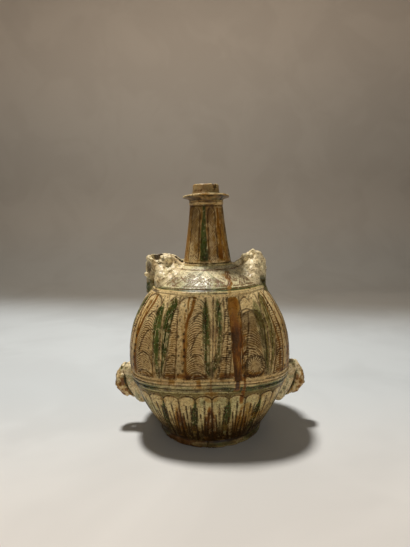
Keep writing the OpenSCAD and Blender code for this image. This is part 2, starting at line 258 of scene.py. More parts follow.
def near(x, z, line):
    """Distance of points to a line of short straight pieces."""
    best = np.full(x.shape, 99.0)
    for (ax, az), (bx, bz) in zip(line[:-1], line[1:]):
        t = np.clip(((x - ax) * (bx - ax) + (z - az) * (bz - az)) / ((bx - ax) ** 2 + (bz - az) ** 2 + 1e-9), 0, 1)
        best = np.minimum(best, np.hypot(x - ax - t * (bx - ax), z - az - t * (bz - az)))
    return best


# Finer strokes of the two drawings that take turns round the belly: place in main lines, and height
TALL_STROKES = (
    ((0.05, 176), (0.2, 185), (0.55, 189.5), (1.0, 191.5)),
    ((1.03, 170), (1.15, 176), (1.6, 179), (1.97, 179)),
    ((1.03, 144), (1.3, 150.5), (1.6, 152), (1.97, 151)),
    ((1.05, 117), (1.35, 123.5), (1.65, 125), (1.97, 123)),
    ((2.0, 183), (2.15, 188), (2.5, 191), (3.0, 192.3), (3.45, 191.5), (3.75, 189), (3.95, 184)),
    ((3.42, 143), (3.62, 151), (3.85, 153.5), (3.98, 150)),
    ((3.46, 143), (3.30, 134), (3.27, 124)),
    ((3.28, 121), (3.42, 125), (3.70, 125.5), (3.90, 120), (3.97, 112)),
    ((3.35, 166), (3.55, 173), (3.80, 175), (3.97, 170)),
    ((3.20, 98), (3.45, 103), (3.75, 103), (3.96, 98)),
    ((0.35, 108), (0.5, 140), (0.62, 172), (0.75, 186)),
)
ROUND_STROKES = (
    ((1.0, 189), (0.50, 181), (0.31, 166), (0.29, 142), (0.28, 116)),
    ((1.05, 104), (0.83, 116), (1.10, 121.5), (1.45, 121)),
    ((1.03, 166), (1.19, 175), (1.45, 178)),
    ((1.03, 141), (1.15, 149), (1.45, 152)),
    ((1.62, 188), (1.50, 150), (1.48, 122), (1.70, 96)),
    ((2.29, 148), (2.38, 130), (2.50, 112), (2.6, 96)),
    ((3.24, 147), (3.25, 129), (3.24, 99)),
    ((3.40, 173), (3.31, 152), (3.24, 135), (3.17, 123)),
    ((3.14, 101), (3.15, 113), (3.33, 121), (3.62, 123), (3.88, 118), (3.99, 108)),
    ((3.02, 122), (3.16, 128), (3.45, 131), (3.75, 128), (3.97, 119)),
    ((3.28, 96.5), (3.5, 95), (3.77, 96.5), (3.98, 100)),
    ((2.62, 170), (2.95, 174), (3.35, 177), (3.72, 174), (3.96, 162)),
    ((3.07, 186), (3.35, 190.5), (3.62, 187), (3.70, 184)),
    ((3.64, 186), (3.80, 190), (3.97, 187)),
    ((4.95, 184), (4.74, 170), (4.47, 150), (4.53, 132), (4.54, 114)),
)
# Dark spots under the glaze: place, height and radius
TALL_SPOTS = ((2.62, 183, 1.1), (2.8, 177, 1.2), (2.25, 166, 1.3), (2.2, 147, 1.3), (2.75, 150, 1.3), (2.78, 142, 1.5),
              (2.30, 124, 1.0), (2.85, 131, 1.4), (2.85, 123, 1.6), (2.8, 115, 1.4), (2.3, 101, 1.2), (2.75, 105, 1.6),
              (3.75, 180, 1.2), (3.35, 169, 1.0), (3.8, 131, 0.9), (3.6, 113, 0.9))
ROUND_SPOTS = ((1.75, 188, 1.7), (1.72, 176, 1.1), (1.78, 160, 1.0), (1.75, 149, 1.8), (1.80, 127, 2.0), (1.72, 122, 1.5),
               (1.55, 132, 1.0), (2.35, 151, 1.6), (2.5, 143, 1.2), (3.02, 120, 1.8), (3.0, 108, 1.7), (3.1, 98, 1.8),
               (2.75, 96, 2.0), (1.3, 170, 0.9))


# A leaf's two edges: height, then millimetres from the stem to the near edge and to the far edge
LEAF_AFTER_EVEN = np.array([(98, 1.6, 1.8), (103, 1.9, 3.4), (116, 2.9, 6.4), (128, 2.8, 9.0), (140, 2.3, 10.8), (152, 1.2, 11.6),
                            (164, 0.8, 12.8), (175, 1.4, 14.8), (183, 3.6, 16.6), (188, 6.5, 15.4), (190.5, 10.5, 12.0)])
LEAF_AFTER_ODD = np.array([(103, 0.6, 1.0), (109, 0.7, 6.5), (121, 1.6, 8.8), (131, 4.6, 10.6), (140, 5.6, 10.8), (148, 5.8, 10.4),
                           (160, 3.9, 10.8), (171, 2.0, 10.4), (180, 2.4, 8.8), (186, 3.6, 7.4), (190, 5.0, 5.6)])
LEAF_BEFORE_EVEN = np.array([(98, 1.2, 1.8), (103, 0.9, 3.6), (108, 0.6, 4.9), (120, 0.6, 6.8), (135, 0.6, 8.8), (149, 0.8, 11.6),
                             (161, 2.0, 13.8), (172, 3.4, 15.4), (178, 3.9, 14.4), (182, 6.0, 10.0), (184.5, 7.6, 8.2)])
LEAF_BEFORE_ODD = np.array([(99, 2.2, 3.0), (104, 2.3, 7.6), (116, 3.0, 9.2), (128, 3.2, 10.4), (143, 3.0, 12.0), (157, 3.2, 13.5),
                            (169, 4.4, 13.4), (178, 5.8, 12.8), (186, 7.6, 10.6), (189, 8.6, 9.0)])


def leaf_depth(offset, z, edges, swing):
    """How far inside a leaf a point lies, in millimetres, and less than nothing outside."""
    up, start, end = edges.T
    close = np.interp(z, up, start) + swing
    far = np.interp(z, up, end) + swing
    over = np.maximum(up[0] - z, z - up[-1])
    return np.minimum(np.minimum(offset - close, far - offset), -over)


def panel_ornament(share, z):
    """Feather panels between pairs of leaves, nine times round the upper bowl.

    Each panel has, from the left, a leaf, a combed strip with scallops, a pale strip that ends in ochre or
    runs dark with iron, a broad feather with curved barbs and lobes, and the leaf before the next stem.
    Two drawings take turns. Their fine strokes are listed lines, and the barbs are rows whose height
    falls off with the square of the way from the feather's spine.
    """
    values = blank(np.broadcast(share, z).shape)
    z = z + 0 * share
    number, wide, f, along, v = panel_place(share, z)
    squeeze = girth_at(z) / GIRTH
    f = f + 0.006 * patchy(share, z, 54, 9.0, 11)
    edge = [(f - line_at(i, v)) * wide * squeeze for i in range(6)]
    inside = ease(z, PANEL_LOW - 0.2, PANEL_LOW + 1) * ease(z, PANEL_HIGH + 0.2, PANEL_HIGH - 1)
    exact = [(f - line_at(i, v)) * wide for i in range(6)]
    tall = number % 2 == 0
    lines = np.abs(np.array(exact))
    values["cut"] = groove(lines.min(0), 1.8, LINE_DEPTH) * inside
    inked = np.where(tall, np.delete(lines, 3, 0).min(0), np.delete(lines, 4, 0).min(0))
    values["line"] = np.minimum(values["line"], inked + 9.0 * (1 - inside))
    x = f * GIRTH / PANELS

    def fine_strokes(strokes, spots, where):
        px, pz = x[where], z[where]
        best = np.full(px.shape, 9.0)
        for stroke in strokes:
            best = np.minimum(best, near(px, pz, laid_out(smooth_line(stroke))))
        dots = np.full(px.shape, 9.0)
        for place, height, radius in spots:
            at = laid_out(np.array([[place, height]], float))[0]
            dots = np.minimum(dots, np.hypot(px - at[0], (pz - at[1]) * 0.8) - radius)
        fine[where] = best
        values["dark"][where] = np.maximum(values["dark"][where], ease(dots, 0.8, -0.4))

    fine = np.full(x.shape, 9.0)
    fine_strokes(TALL_STROKES, TALL_SPOTS, tall)
    fine_strokes(ROUND_STROKES, ROUND_SPOTS, ~tall)
    draw(values, fine)
    stray = patchy(share, z, 72, 8.0, 3)
    slow = patchy(share, z, 24, 30.0, 4)

    # Leaves on both sides of each stem, green and pointed at both ends
    streaks = patchy(share, z, 200, 24.0, 5)
    swing = 0.45 * patchy(share * 0, z, 4, 11.0, 6)
    even = number % 2 == 0
    next_even = np.mod(number + 1, PANELS) % 2 == 0
    right = np.where(even, leaf_depth(exact[0], z, LEAF_AFTER_EVEN, swing), leaf_depth(exact[0], z, LEAF_AFTER_ODD, swing))
    left = np.where(next_even, leaf_depth(-exact[5], z, LEAF_BEFORE_EVEN, swing), leaf_depth(-exact[5], z, LEAF_BEFORE_ODD, swing))
    strength = np.array([1.25, 0.95, 0.70, 0.95, 1.15, 0.75, 1.05, 0.9, 1.10, 1.25])
    inner_leaf = ease(right, -0.3, 0.8) * strength[number] + ease(left, -0.3, 0.8) * strength[number + 1]
    haze = 0.34 * ease(np.maximum(right, left), -3.6, 0.2) * ease(slow + 0.6 * stray, -0.5, 0.5)
    values["green"] = np.maximum(inner_leaf * (0.95 + 0.24 * streaks + 0.16 * slow), haze)
    leaf = ease(np.maximum(right, left), -0.6, 0.5)
    fringe = np.minimum(np.abs(right), np.abs(left))
    draw(values, fringe + 0.35, inside * 0.98, 0.35)

    # The round drawing's fan low down on the right
    fan_x = exact[0] - 0.742 * wide
    fan = np.hypot(fan_x, z - 108.4) + 0.4 * stray
    in_fan = np.where(tall, 0.0, ease(fan, 13.2, 12.6))

    # Narrow combed strip
    ticks = ease(along, 1.04, 1.12) * ease(along, 1.98, 1.90) * inside
    bead = np.where(tall, 0, ease(along, 1.52, 1.58) * ease(along, 1.99, 1.94))
    middle = np.where(tall, 1.5, 1.3)
    tick_phase = (z + 0.05 * ((along - middle) * 8.6) ** 2 + 0.5 * stray) / 2.7
    # Pale strip, with the ochre or the dark iron beside it
    strip = ease(along, 2.02, 2.12) * inside
    wave = 0.07 * np.sin(z / 5.2 + number) + 0.04 * stray
    pale_end = np.where(tall, 2.68 + 1.6 * wave - 0.10 * np.sin(np.pi * v), 2.24 + 0.004 * (148 - z) + wave + 0.22 * slow)
    values["pale"] = np.where(tall, 0.70, 0.8 * ease(z, 156, 148)) * strip * ease(along, pale_end + 0.05, pale_end - 0.05)
    ochre_start = np.where(tall, 2.86 + 1.1 * wave - 0.05 * np.sin(np.pi * v), pale_end)
    ochre = ease(along, ochre_start, ochre_start + 0.08) * ease(along, 3.04 + wave * 0.3, 2.96 + wave * 0.3) * inside
    wavy = 2.98 + 0.30 * ease(z, 163, 182) + 0.12 * ease(z, 108, 96) - 0.14 * np.exp(-((z - 138) / 14) ** 2) + 0.05 * stray
    border = np.where(tall, ease(np.abs(along - wavy), 0.15, 0.05), 0) * inside
    iron = np.where(number == 1, 0.66 + 0.36 * ease(z, 172, 150), 0.74 + 0.25 * slow)
    round_top = ease(z - 189.5 - 3 * slow + 0.35 * ((along - 2.65) * 12) ** 2, 1.8, -3.8)
    values["amber"] = np.where(tall, (0.55 + 0.30 * stray) * ochre, (iron + 0.15 * stray) * round_top * ochre)
    values["amber"] = np.maximum(values["amber"], (0.84 + 0.2 * stray) * border)
    honey = ease(along, 2.98, 3.02) * ease(along, 3.26, 3.12) * ease(z, 152, 144) * ease(z, 96, 100) * inside * (1 - in_fan)
    values["amber"] = np.where(tall, values["amber"], np.maximum(values["amber"], (0.66 + 0.2 * stray) * honey))
    outer = (number == 2) | (number == 8)
    rim = np.where(outer, ease(np.abs(edge[2] + 0.2), 2.2, 0.9) * 0.75 * inside, 0)
    values["amber"] = np.maximum(values["amber"], rim)

    # Broad feather: rows of barbs that droop to both sides of the spine, broken by lobes
    far_side = np.where(tall, 3.99, 4.62 - 0.5 * ease(z, 160, 180))
    feather = ease(along, 3.03, 3.08) * ease(along, far_side, far_side - 0.06) * inside
    spine = np.where(tall, 3.52, 3.18 + 0.0045 * (z - 122))
    off = (along - spine) * 24.0
    rows = z + np.where(tall, 0.060, 0.040) * off ** 2 + 0.6 * stray
    draw(values, np.where(tall, 9.0, np.abs(fan - 12.9)), inside)
    teeth = np.arctan2(z - 108.4, fan_x) * 9.5 + 0.35 * fan
    phase = np.where(in_fan > 0.5, teeth, rows) / 2.8
    values["comb"] = np.where(along < 2.0, tick_phase, phase)
    lobe = np.where(tall, ease(along, 3.40, 3.50) * (ease(z, 124, 127) * ease(z, 151, 148) + ease(z, 98, 101) * ease(z, 124, 121)), 0)
    vault = np.abs((along - 3.72) / 0.95)
    roof = 160 + 14 * np.sqrt(np.clip(1 - vault ** 2, 0, 1))
    high = np.where(tall, ease(z, 190, 186), ease(z - roof, 0.5, -1.5))
    draw(values, np.where(tall, 9.0, np.abs(z - roof) * 0.8), inside * ease(along, 2.98, 3.05) * ease(along, 4.6, 4.5))
    hushed = np.where(tall, 1.0, 1 - 0.75 * ease(z, 146, 154)) * (1 - 0.7 * in_fan * ease(fan, 7.0, 5.0))
    full = np.clip(feather * (1 - 0.6 * lobe) * high * hushed + ticks, 0, 1)
    values["combed"] = full * np.clip(0.90 + 0.45 * stray, 0.30, 1.1) * (1 - 0.5 * ease(z, 166, 186))
    brown = np.where(tall, 0.10, 0.50) * feather * high * (1 - in_fan) * ease(z, 124, 134) * (1 - ease(stray, 0.3, 0.9))
    values["dark"] = np.maximum(values["dark"], brown)
    flooded = np.where(tall, 0, ochre * round_top * ease(iron, 0.7, 0.9))
    values["pale"] = np.maximum(values["pale"], np.where(tall, 0, 0.85 * ease(along, 3.0, 3.1) * (1 - high) * inside))
    values["pale"] = np.maximum(values["pale"], 0.45 * in_fan * (1 + 0.8 * stray) + 0.35 * lobe * feather)
    values["pale"] = np.maximum(values["pale"], bead * (0.45 + 0.45 * np.cos(2 * np.pi * z / 4.1)))
    values["dark"] = np.maximum(values["dark"], 0.75 * bead * ease(np.cos(2 * np.pi * z / 4.1), -0.35, -0.8))
    # Paler towards the top of the bowl: partly the cream slip of the panels' tops, partly painted light where the bowl
    # turns up to the lamp
    high_up = (0.92 + 0.25 * ease(z, 168, 184)) * ease(z, 148, 174) * (0.96 + 0.30 * stray)
    values["pale"] = np.maximum(values["pale"], high_up * (1 - leaf))
    between = ease(np.minimum(np.abs(exact[0]), np.abs(exact[5])), 3.2, 1.4) * inside
    values["pale"] = np.maximum(values["pale"], 0.75 * between * (1 - leaf))
    values["pale"] = np.maximum(values["pale"], 0.55 * ease(fringe, 3.2, 2.0) * (1 - leaf) * inside)

    # Brown run-off along the foot of the panels, and the line that closes them
    sunk = ease(z, 142, 98) * (0.8 + 0.5 * slow + 0.5 * stray)
    values["dark"] = np.maximum(values["dark"], 0.48 * sunk) * (1 - 0.9 * flooded)
    values["line"] = values["line"] + 1.2 * flooded
    foot = ease(z + 3.2 * stray, 105, 98.0) * ease(z, 95.0, 97.0) * ease(along, 1.0, 1.3) * ease(along, 4.2, 3.9)
    values["amber"] = np.maximum(values["amber"], foot * (0.80 + 0.35 * slow + 0.4 * stray))
    draw(values, np.abs(z - 95.6 + 0.6 * slow) + 0.25, ease(along, 0.9, 1.1) * ease(along, 4.3, 4.0) * ease(stray, -0.8, -0.4))
    below = ease(z, 95.2, 93.8)
    values["pale"] = np.maximum(values["pale"], (0.75 + 0.3 * stray) * below)
    values["amber"] = np.maximum(values["amber"] * (1 - below), 0.24 * below * ease(slow + stray, -0.9, 0.2))
    values["dark"] = values["dark"] * (1 - 0.8 * below)

    # The heavy dark run in the round drawing right of the middle
    up = [(93, 2.44, 3.08), (112, 2.22, 2.90), (130, 1.96, 2.72), (153, 1.86, 2.66), (176, 1.62, 2.70), (188, 1.80, 2.82), (191.5, 2.2, 2.6)]
    heights, near_side, far_side = np.array(up).T
    run_left, run_right = np.interp(z, heights, near_side) + 0.05 * stray, np.interp(z, heights, far_side) + 0.05 * stray
    run = ease(along, run_left - 0.04, run_left + 0.07) * ease(along, run_right + 0.06, run_right - 0.06) * ease(z, 192.5, 190.0)
    run = np.where(number == 1, run, 0)
    values["amber"] = values["amber"] * (1 - run) + run * (0.66 + 0.50 * ease(z, 176, 142) + 0.12 * stray)
    values["line"] = values["line"] + 2.4 * run
    for key in ("pale", "dark", "combed", "green"):
        values[key] = values[key] * (1 - run)
    blots = ease(patchy(share, z, 110, 9.0, 7), -0.2, 0.5)
    values["dark"] = np.maximum(values["dark"], run * ease(z, 176, 140) * (0.15 + 0.45 * blots) * ease(along, run_left + 0.8, run_left + 0.1))
    values["dark"] = np.maximum(values["dark"], 0.75 * run * ease(along, run_left + 0.16, run_left + 0.04))
    return values


def drips(share, z, values):
    """Runs of amber glaze, each with a place, a top, a lower end, a width and a strength."""
    runs = ((0.0495, 98, 76, 9.0, 1.15), (0.0625, 104, 58, 6.0, 0.85), (-0.0455, 178, 90, 3.0, 0.5),
            (-0.160, 188, 96, 5.0, 0.7), (0.142, 186, 100, 4.0, 0.75), (0.003, 100, 66, 5.0, 0.45),
            (-0.075, 99, 84, 14.0, 0.5), (-0.02, 99, 80, 10.0, 0.55), (0.27, 190, 88, 8.0, 0.9), (0.385, 176, 96, 5.0, 0.7),
            (-0.27, 188, 80, 7.0, 0.85), (-0.40, 192, 76, 9.0, 1.0), (0.47, 170, 92, 5.0, 0.6))
    for place, top, low, width, strength in runs:
        off = (np.mod(share - place + 0.5, 1.0) - 0.5) * GIRTH + 1.6 * np.sin(z / 11.0 + 40 * place)
        swell = width * (0.62 + 0.38 * ease(z, top, low)) * (1 + 0.25 * patchy(share * 0, z, 4, 9.0, 21))
        body = ease(np.abs(off), 0.62 * swell, 0.30 * swell)
        run = body * ease(z, low, low + 7) * ease(z, top + 3, top - 8)
        values["amber"] = np.maximum(values["amber"], strength * run)
    return values


def petal_ornament(share, z):
    """Tongue petals round the lower bowl: seams, round heads and inner lines that run together at the foot.

    A head is half an ellipse over each petal; the distance to it is the ellipse's value over its slope.
    """
    values = blank(np.broadcast(share, z).shape)
    z = z + 0 * share
    place = np.mod(share - 0.07 / PETALS, 1.0) * PETALS + 0 * z
    number = np.floor(place)
    s = place - number
    span = girth_at(z) / PETALS
    x = (s - 0.5) * span
    seam = np.minimum(s, 1 - s) * GIRTH / PETALS
    crown = PETAL_Z - PETAL_HEAD
    head = crown + PETAL_HEAD * np.sqrt(np.clip(1 - (2 * s - 1) ** 2, 0, 1))
    draw(values, seam, ease(head - z, 0.0, 1.5) * ease(z, FOOT_Z + 1.5, FOOT_Z + 4), LINE_DEPTH, 1.8)
    p, q = (2 * s - 1), np.clip((z - crown) / PETAL_HEAD, 0, 3)
    value = np.hypot(p, q) - 1
    slope = np.hypot(p / (span / 2), q / PETAL_HEAD) / np.maximum(np.hypot(p, q), 0.2)
    draw(values, np.abs(value) / np.maximum(slope, 0.02), ease(z, crown - 0.8, crown + 0.4), LINE_DEPTH, 1.8)
    hand = patchy(share, z * 0, 60, 10.0, 31)
    for side, start in ((-0.30, 54.0), (-0.02, 67.0), (0.26, 60.0)):
        high = start + 5 * np.sin(number * 2.9 + 9 * side)
        lean = (side + 0.05 * np.sin(number * 2.4) + 0.05 * hand) * (0.55 + 0.45 * ease(z, 18, 62))
        draw(values, np.maximum(np.abs(x - lean * span) - 0.25, 0), ease(z, high, high - 4) * ease(z, 14, 18), 0.45)
    even = np.abs((np.mod(place + 1.0, 2.0) - 1.0) * span + 2.6)
    stray = patchy(share, z, 60, 12.0, 33)
    each = patchy(share, z * 0, 15, 18.0, 34)
    lick = patchy(share, z, 170, 20.0, 35)
    values["comb"] = (x + 0.06 * z) / 1.9
    values["combed"] = (0.10 + 0.12 * stray) * ease(z, 56 + 7 * each, 40 + 7 * each) * ease(z, 17, 22)
    values["cut"] = np.maximum(values["cut"], 0.42 * np.abs(2 * s - 1) ** 2.5 * ease(head - z, 0, 2) * ease(z, FOOT_Z + 1, FOOT_Z + 6))
    fade = ease(z, 15, 26) * ease(z, 70, 62)
    narrow = (0.36 + 0.64 * ease(z, 67, 50)) * (0.62 + 0.38 * ease(z, 20, 42))
    swung = place + 0.0062 * (64 - z)
    signed = (np.mod(swung, 2.0) - 1.0) * span
    wedge = ease(np.abs(signed) / narrow, 5.0 + 0.8 * lick, 3.4 + 0.8 * lick) * fade
    haze = 0.40 * ease(patchy(share, z, 13, 26.0, 38), -0.1, 0.5) * ease(z, 74, 66) * (1 + 0.4 * lick)
    values["green"] = np.maximum(wedge * (1.10 + 0.25 * lick + 0.1 * each), haze)
    for side in (-2.7, 0.2, 3.0):
        draw(values, np.abs(signed - side * narrow) * 0.8, fade * ease(z, 64 - abs(side), 60 - abs(side)), 0.4)
    flame = 2.0 + 5.6 * ease(z, 62, 34)
    middle = ease(np.abs(np.mod(share + 0.49, 1.0) - 0.5), 0.034, 0.020)
    burn = ease(even, flame + 1.0, flame - 1.4) * ease(z, 63, 52) * np.maximum(middle, 0.75 * ease(each, 0.0, 0.5))
    values["amber"] = burn * (1.0 + 0.30 * lick)
    values["amber"] = np.maximum(values["amber"], 0.34 * ease(patchy(share, z, 26, 14.0, 36), 0.25, 0.7))
    values["pale"] = (0.42 + 0.48 * ease(z, 26, 54)) * (0.95 + 0.4 * stray) * ease(head - z, 0.0, 1.4) * ease(np.abs(signed), 2.0, 4.5)
    values["pale"] = values["pale"] * (1 - 0.7 * burn)
    speckle = ease(patchy(share, z, 260, 2.2, 37), 0.25, 0.75)
    # Painted shade: the petals darken towards the foot, where the lower bowl faces down, together with brown glaze
    # pooled at the foot; seams and specks are darker too
    shade = 0.10 + 0.95 * ease(z + 4 * stray, 46, 18) + 0.32 * ease(seam, 2.6, 0.8) + 0.26 * speckle
    # Painted shadow under the waist band's overhang: darker glaze above the petal heads and a dark line just below the
    # band
    over = ease(head - z, -0.2, -1.4) * ease(z, 77.2, 76.2)
    values["dark"] = np.maximum(shade * (1 - 0.4 * wedge), np.maximum(0.50 * over, 0.70 * ease(np.abs(z - 76.0), 0.9, 0.4)))
    lip = ease(z, 76.2, 77.2)
    values["pale"] = np.maximum(values["pale"], 0.8 * lip)
    patches = ease(patchy(share, z, 16, 9.0, 83), -0.1, 0.5)
    values["green"] = np.maximum(values["green"], np.maximum((0.35 + 0.65 * patches) * lip, 0.55 * over))
    drips(share, z, values)
    return values


def dome_ornament(share, z):
    """A vine scroll with curled leaves round the shoulder, with lines above and below it."""
    values = blank(np.broadcast(share, z).shape)
    z = z + 0 * share
    turns = 12
    place = np.mod(share, 1.0) * turns + 0.35
    number = np.floor(place)
    f = place - number
    span = 2 * np.pi * 58.0 / turns
    height = (z - 209.5) * 1.9
    x = (f - 0.5) * span
    sign = np.where(number % 2 == 0, 1, -1)
    stray = patchy(share, z, 48, 7.0, 42)
    vine = height - 6.5 * sign * np.cos(np.pi * (f - 0.5)) + 6.5 * sign + 1.5 * stray
    draw(values, np.abs(vine) * 0.75)
    for ring, shift in ((7.6, 0.0), (5.2, 1.2), (2.6, 2.2)):
        curl = np.hypot(x - shift, height + 5.0 * sign + 0.6 * shift) - ring + 0.8 * stray
        draw(values, np.abs(curl), ease(x * sign + height * 0.6, -7, -3))
    for shift in (-0.36, 0.36):
        blade = (x - shift * span) * 0.8 + 0.45 * sign * height
        draw(values, np.abs(blade), ease(np.abs(height), 18, 14) * ease(stray, -0.5, 0.0))
        draw(values, np.abs(np.abs(blade) - 2.6), ease(np.abs(height + 3), 11, 8))
    draw(values, np.abs(z - 200.0) * 0.8, ease(stray, -0.8, -0.3))
    draw(values, np.abs(z - 203.0) * 1.1, ease(stray, -0.6, -0.2))
    draw(values, np.abs(z - 220.6))
    values["comb"] = (x * 0.9 + height * 0.5 * sign) / 2.3
    values["combed"] = 0.45 * ease(np.abs(vine), 3.0, 5.0) * ease(np.abs(height), 17, 13) * ease(np.sin(7 * place), -0.2, 0.6)
    band = np.abs((np.mod(share + 0.012 + 0.5, 1) - 0.5) * 400 - 1.25 * (222 - z)) * 0.8
    other = np.abs((np.mod(share + 0.012 + 0.5, 1) - 0.5) * 400 + 1.25 * (222 - z)) * 0.8
    cross = ease(np.minimum(band, other) + 1.5 * stray, 3.4, 1.0)
    tinge = 0.40 * ease(patchy(share, z, 15, 9.0, 41), 0.0, 0.7) + 0.12
    values["green"] = np.maximum(tinge, 0.66 * cross) + 0.66 * ease(z, 202.0, 200.4)
    values["pale"] = 1.0 - 0.30 * ease(patchy(share, z, 30, 9.0, 45), 0.2, 0.8)
    radius, height_at = dome_profile(200)
    across = np.sin(2 * np.pi * share) * np.interp(z, height_at, radius)
    run = across - 25.6 - 1.8 * np.sin((z - 200) / 3.1) * ease(z, 202, 206) - 1.2 * patchy(share, z, 60, 4.0, 47)
    spill = ease(np.abs(run), 4.0, 1.8) * ease(np.mod(share + 0.25, 1), 0.5, 0.48) * ease(z, 221, 216)
    pool = ease(np.abs(run + 2.5), 11.0, 4.0) * ease(z, 219, 214) * ease(z, 202, 207) * ease(stray, -0.7, 0.2)
    pool = pool * ease(np.mod(share + 0.25, 1), 0.5, 0.48)
    values["amber"] = np.maximum(np.maximum(0.72 * spill, 0.46 * pool), 0.36 * ease(patchy(share, z, 13, 12.0, 44), 0.30, 0.9))
    values["dark"] = 0.4 * ease(patchy(share, z, 90, 4.0, 46), 0.66, 0.84)
    return values


# Stripes and tongues of the neck: share of the way round, and half the width in millimetres or in shares
NECK_GREENS = ((-0.022, 4.2), (0.235, 4.0), (0.49, 4.4), (0.735, 4.0))
NECK_AMBERS = ((0.125, 6.6), (0.365, 6.0), (0.615, 6.5), (0.805, 4.6))
NECK_TONGUES = ((0.044, 0.034), (0.295, 0.031), (0.43, 0.026), (0.55, 0.026), (0.675, 0.026), (-0.104, 0.044), (0.196, 0.014))


def neck_ornament(share, z):
    """Upright tongues round the neck with slanting veins, between green stripes and runs of amber.

    A tongue ends in half an ellipse at the top and at the foot.
    """
    values = blank(np.broadcast(share, z).shape)
    z = z + 0 * share
    round_at = 2 * np.pi * np.interp(z, [NECK_Z, FLANGE_Z], [NECK_BASE_R, NECK_TOP_R])
    stray = patchy(share, z, 24, 10.0, 51)
    drift = 0.004 * patchy(share, z, 12, 16.0, 54)
    flow = patchy(share, z, 60, 22.0, 55)
    low, high = 229.5, 299.5
    gate = ease(z, 229, 234) * ease(z, 305, 298)
    widen = 0.78 + 0.52 * ease(z, 292, 238)
    swell = 0.26 * ease(z, 245, 290)
    green = np.zeros(z.shape)
    for centre, half in NECK_GREENS:
        off = np.abs(np.mod(share + drift - centre + 0.5, 1) - 0.5) * round_at
        green = np.maximum(green, ease(off + 0.7 * flow + 0.5 * stray, half * (widen - swell) + 1.2, half * (widen - swell) - 1.2))
    amber = np.zeros(z.shape)
    for centre, half in NECK_AMBERS:
        off = (np.mod(share + drift - centre + 0.5, 1) - 0.5) * round_at
        amber = np.maximum(amber, ease(np.abs(off), half * widen + 1.0, half * widen - 1.5))
        draw(values, np.abs(off - 1.2 - 1.3 * stray) + 0.2, gate * ease(flow, -0.6, -0.1) * 0.95, 0.4)
    inside = np.full(z.shape, -9.0)
    slant = np.zeros(z.shape)
    for centre, half in NECK_TONGUES:
        off = (np.mod(share + drift - centre + 0.5, 1) - 0.5) * round_at
        wide = half * round_at - 0.4
        cap = np.maximum(z - (high - 8), 0) + np.maximum(low + 7 - z, 0)
        depth = wide * np.sqrt(np.clip(1 - (cap / 8.2) ** 2, 0, 1)) - np.abs(off)
        slant = np.where(depth > inside, off * (1 if centre < 0 else -1), slant)
        inside = np.maximum(inside, depth)
    draw(values, np.abs(inside), gate * 0.98, 0.45)
    values["comb"] = (z + slant * 1.15 + 0.9 * stray) / 3.1
    values["combed"] = ease(inside, 0.2, 1.2) * gate * (0.95 + 0.4 * stray)
    values["green"] = 1.25 * green * gate * (1 + 0.15 * flow)
    glow = amber * gate * (1 - green)
    values["amber"] = np.maximum((0.26 + 0.20 * stray + 0.12 * flow) * ease(z, 226, 244) * (1 - green), (0.62 + 0.22 * flow) * glow)
    draw(values, np.abs(z - 301.2))
    draw(values, np.abs(z - low + 1.6), None, 0.5)
    # The tongues are paler on the left side of the neck, where the key light falls: painted light
    left_side = 0.5 - 0.5 * np.sin(2 * np.pi * share)
    values["pale"] = ((0.45 + 0.75 * left_side) * ease(z, 285, 236) * ease(inside, 0, 1) * (1 + 0.5 * stray) + 0.75 * ease(z, 231, 226)
                      + 0.35 * ease(z, 299, 303) * (1 + stray))
    values["dark"] = (0.42 * ease(z, 262, 300) * (1 - 0.8 * ease(z, 301, 304)) * (1 - 0.5 * glow)
                      + 0.55 * ease(patchy(share, z, 40, 7.0, 53), 0.2, 0.7) * (0.4 + 0.6 * green)
                      + (0.15 + 0.40 * ease(z, 270, 236)) * green * ease(patchy(share, z, 90, 4.0, 56), -0.6, 0.2))
    values["green"] = np.maximum(values["green"], 0.5 * ease(z, 230, 226) * ease(patchy(share, z, 9, 8, 52), -0.2, 0.5))
    return values


# Thrown members

def thrown(name, rows_out, rows_in, radius_at, inner_at, columns, ornament, wobble, angles="belly"):
    """A thrown member: dense rows outside with grooves and finger marks, a few plain rows inside."""
    share = (np.arange(columns) / columns)[None, :]
    angle = angle_at(share) if angles == "belly" else share * 2 * np.pi - math.pi / 2
    z = rows_out[:, None]
    values = ornament(share, z)
    relief = values["cut"] + 0.14 * values["combed"] * (0.5 + 0.5 * np.cos(2 * np.pi * values["comb"]))
    finger = wobble * (patchy(share, z, 14, 17.0, 61) + 0.5 * patchy(share, z, 48, 7.0, 62) + 0.35 * patchy(share, z, 150, 3.0, 63))
    fade = ease(z, rows_out[0], rows_out[0] + 1.5) * ease(z, rows_out[-1], rows_out[-1] - 1.5)
    outer = radius_at(z, angle) - (relief + finger * 0.5 + 0.5 * wobble) * fade - 0.05
    inner = inner_at(rows_in[:, None], angle) + 0 * angle
    radius = np.concatenate([outer + 0 * angle, inner], 0)
    height = np.concatenate([z + 0 * angle, rows_in[:, None] + 0 * angle], 0)
    fields = {}
    for key in FIELDS:
        fields[key] = np.concatenate([values[key] + 0 * angle, np.repeat(values[key][-1:] * 0, len(rows_in), 0)
                                      + (9.0 if key == "line" else 0)], 0)
    return ring_shell(name, radius, height, angle, fields)


def make_upper_belly():
    """The upper bowl, with the feather panels and the runs of amber over them."""
    rows_out = np.linspace(WAIST_Z, SHOULDER_Z, 142)
    rows_in = np.linspace(SHOULDER_Z, WAIST_Z, 6)
    return thrown("upper_belly_dressed", rows_out, rows_in, section_radius,
                  lambda z, a: section_radius(z, a, -WALL), 620,
                  lambda s, z: drips(s, z, panel_ornament(s, z)), 0.5)


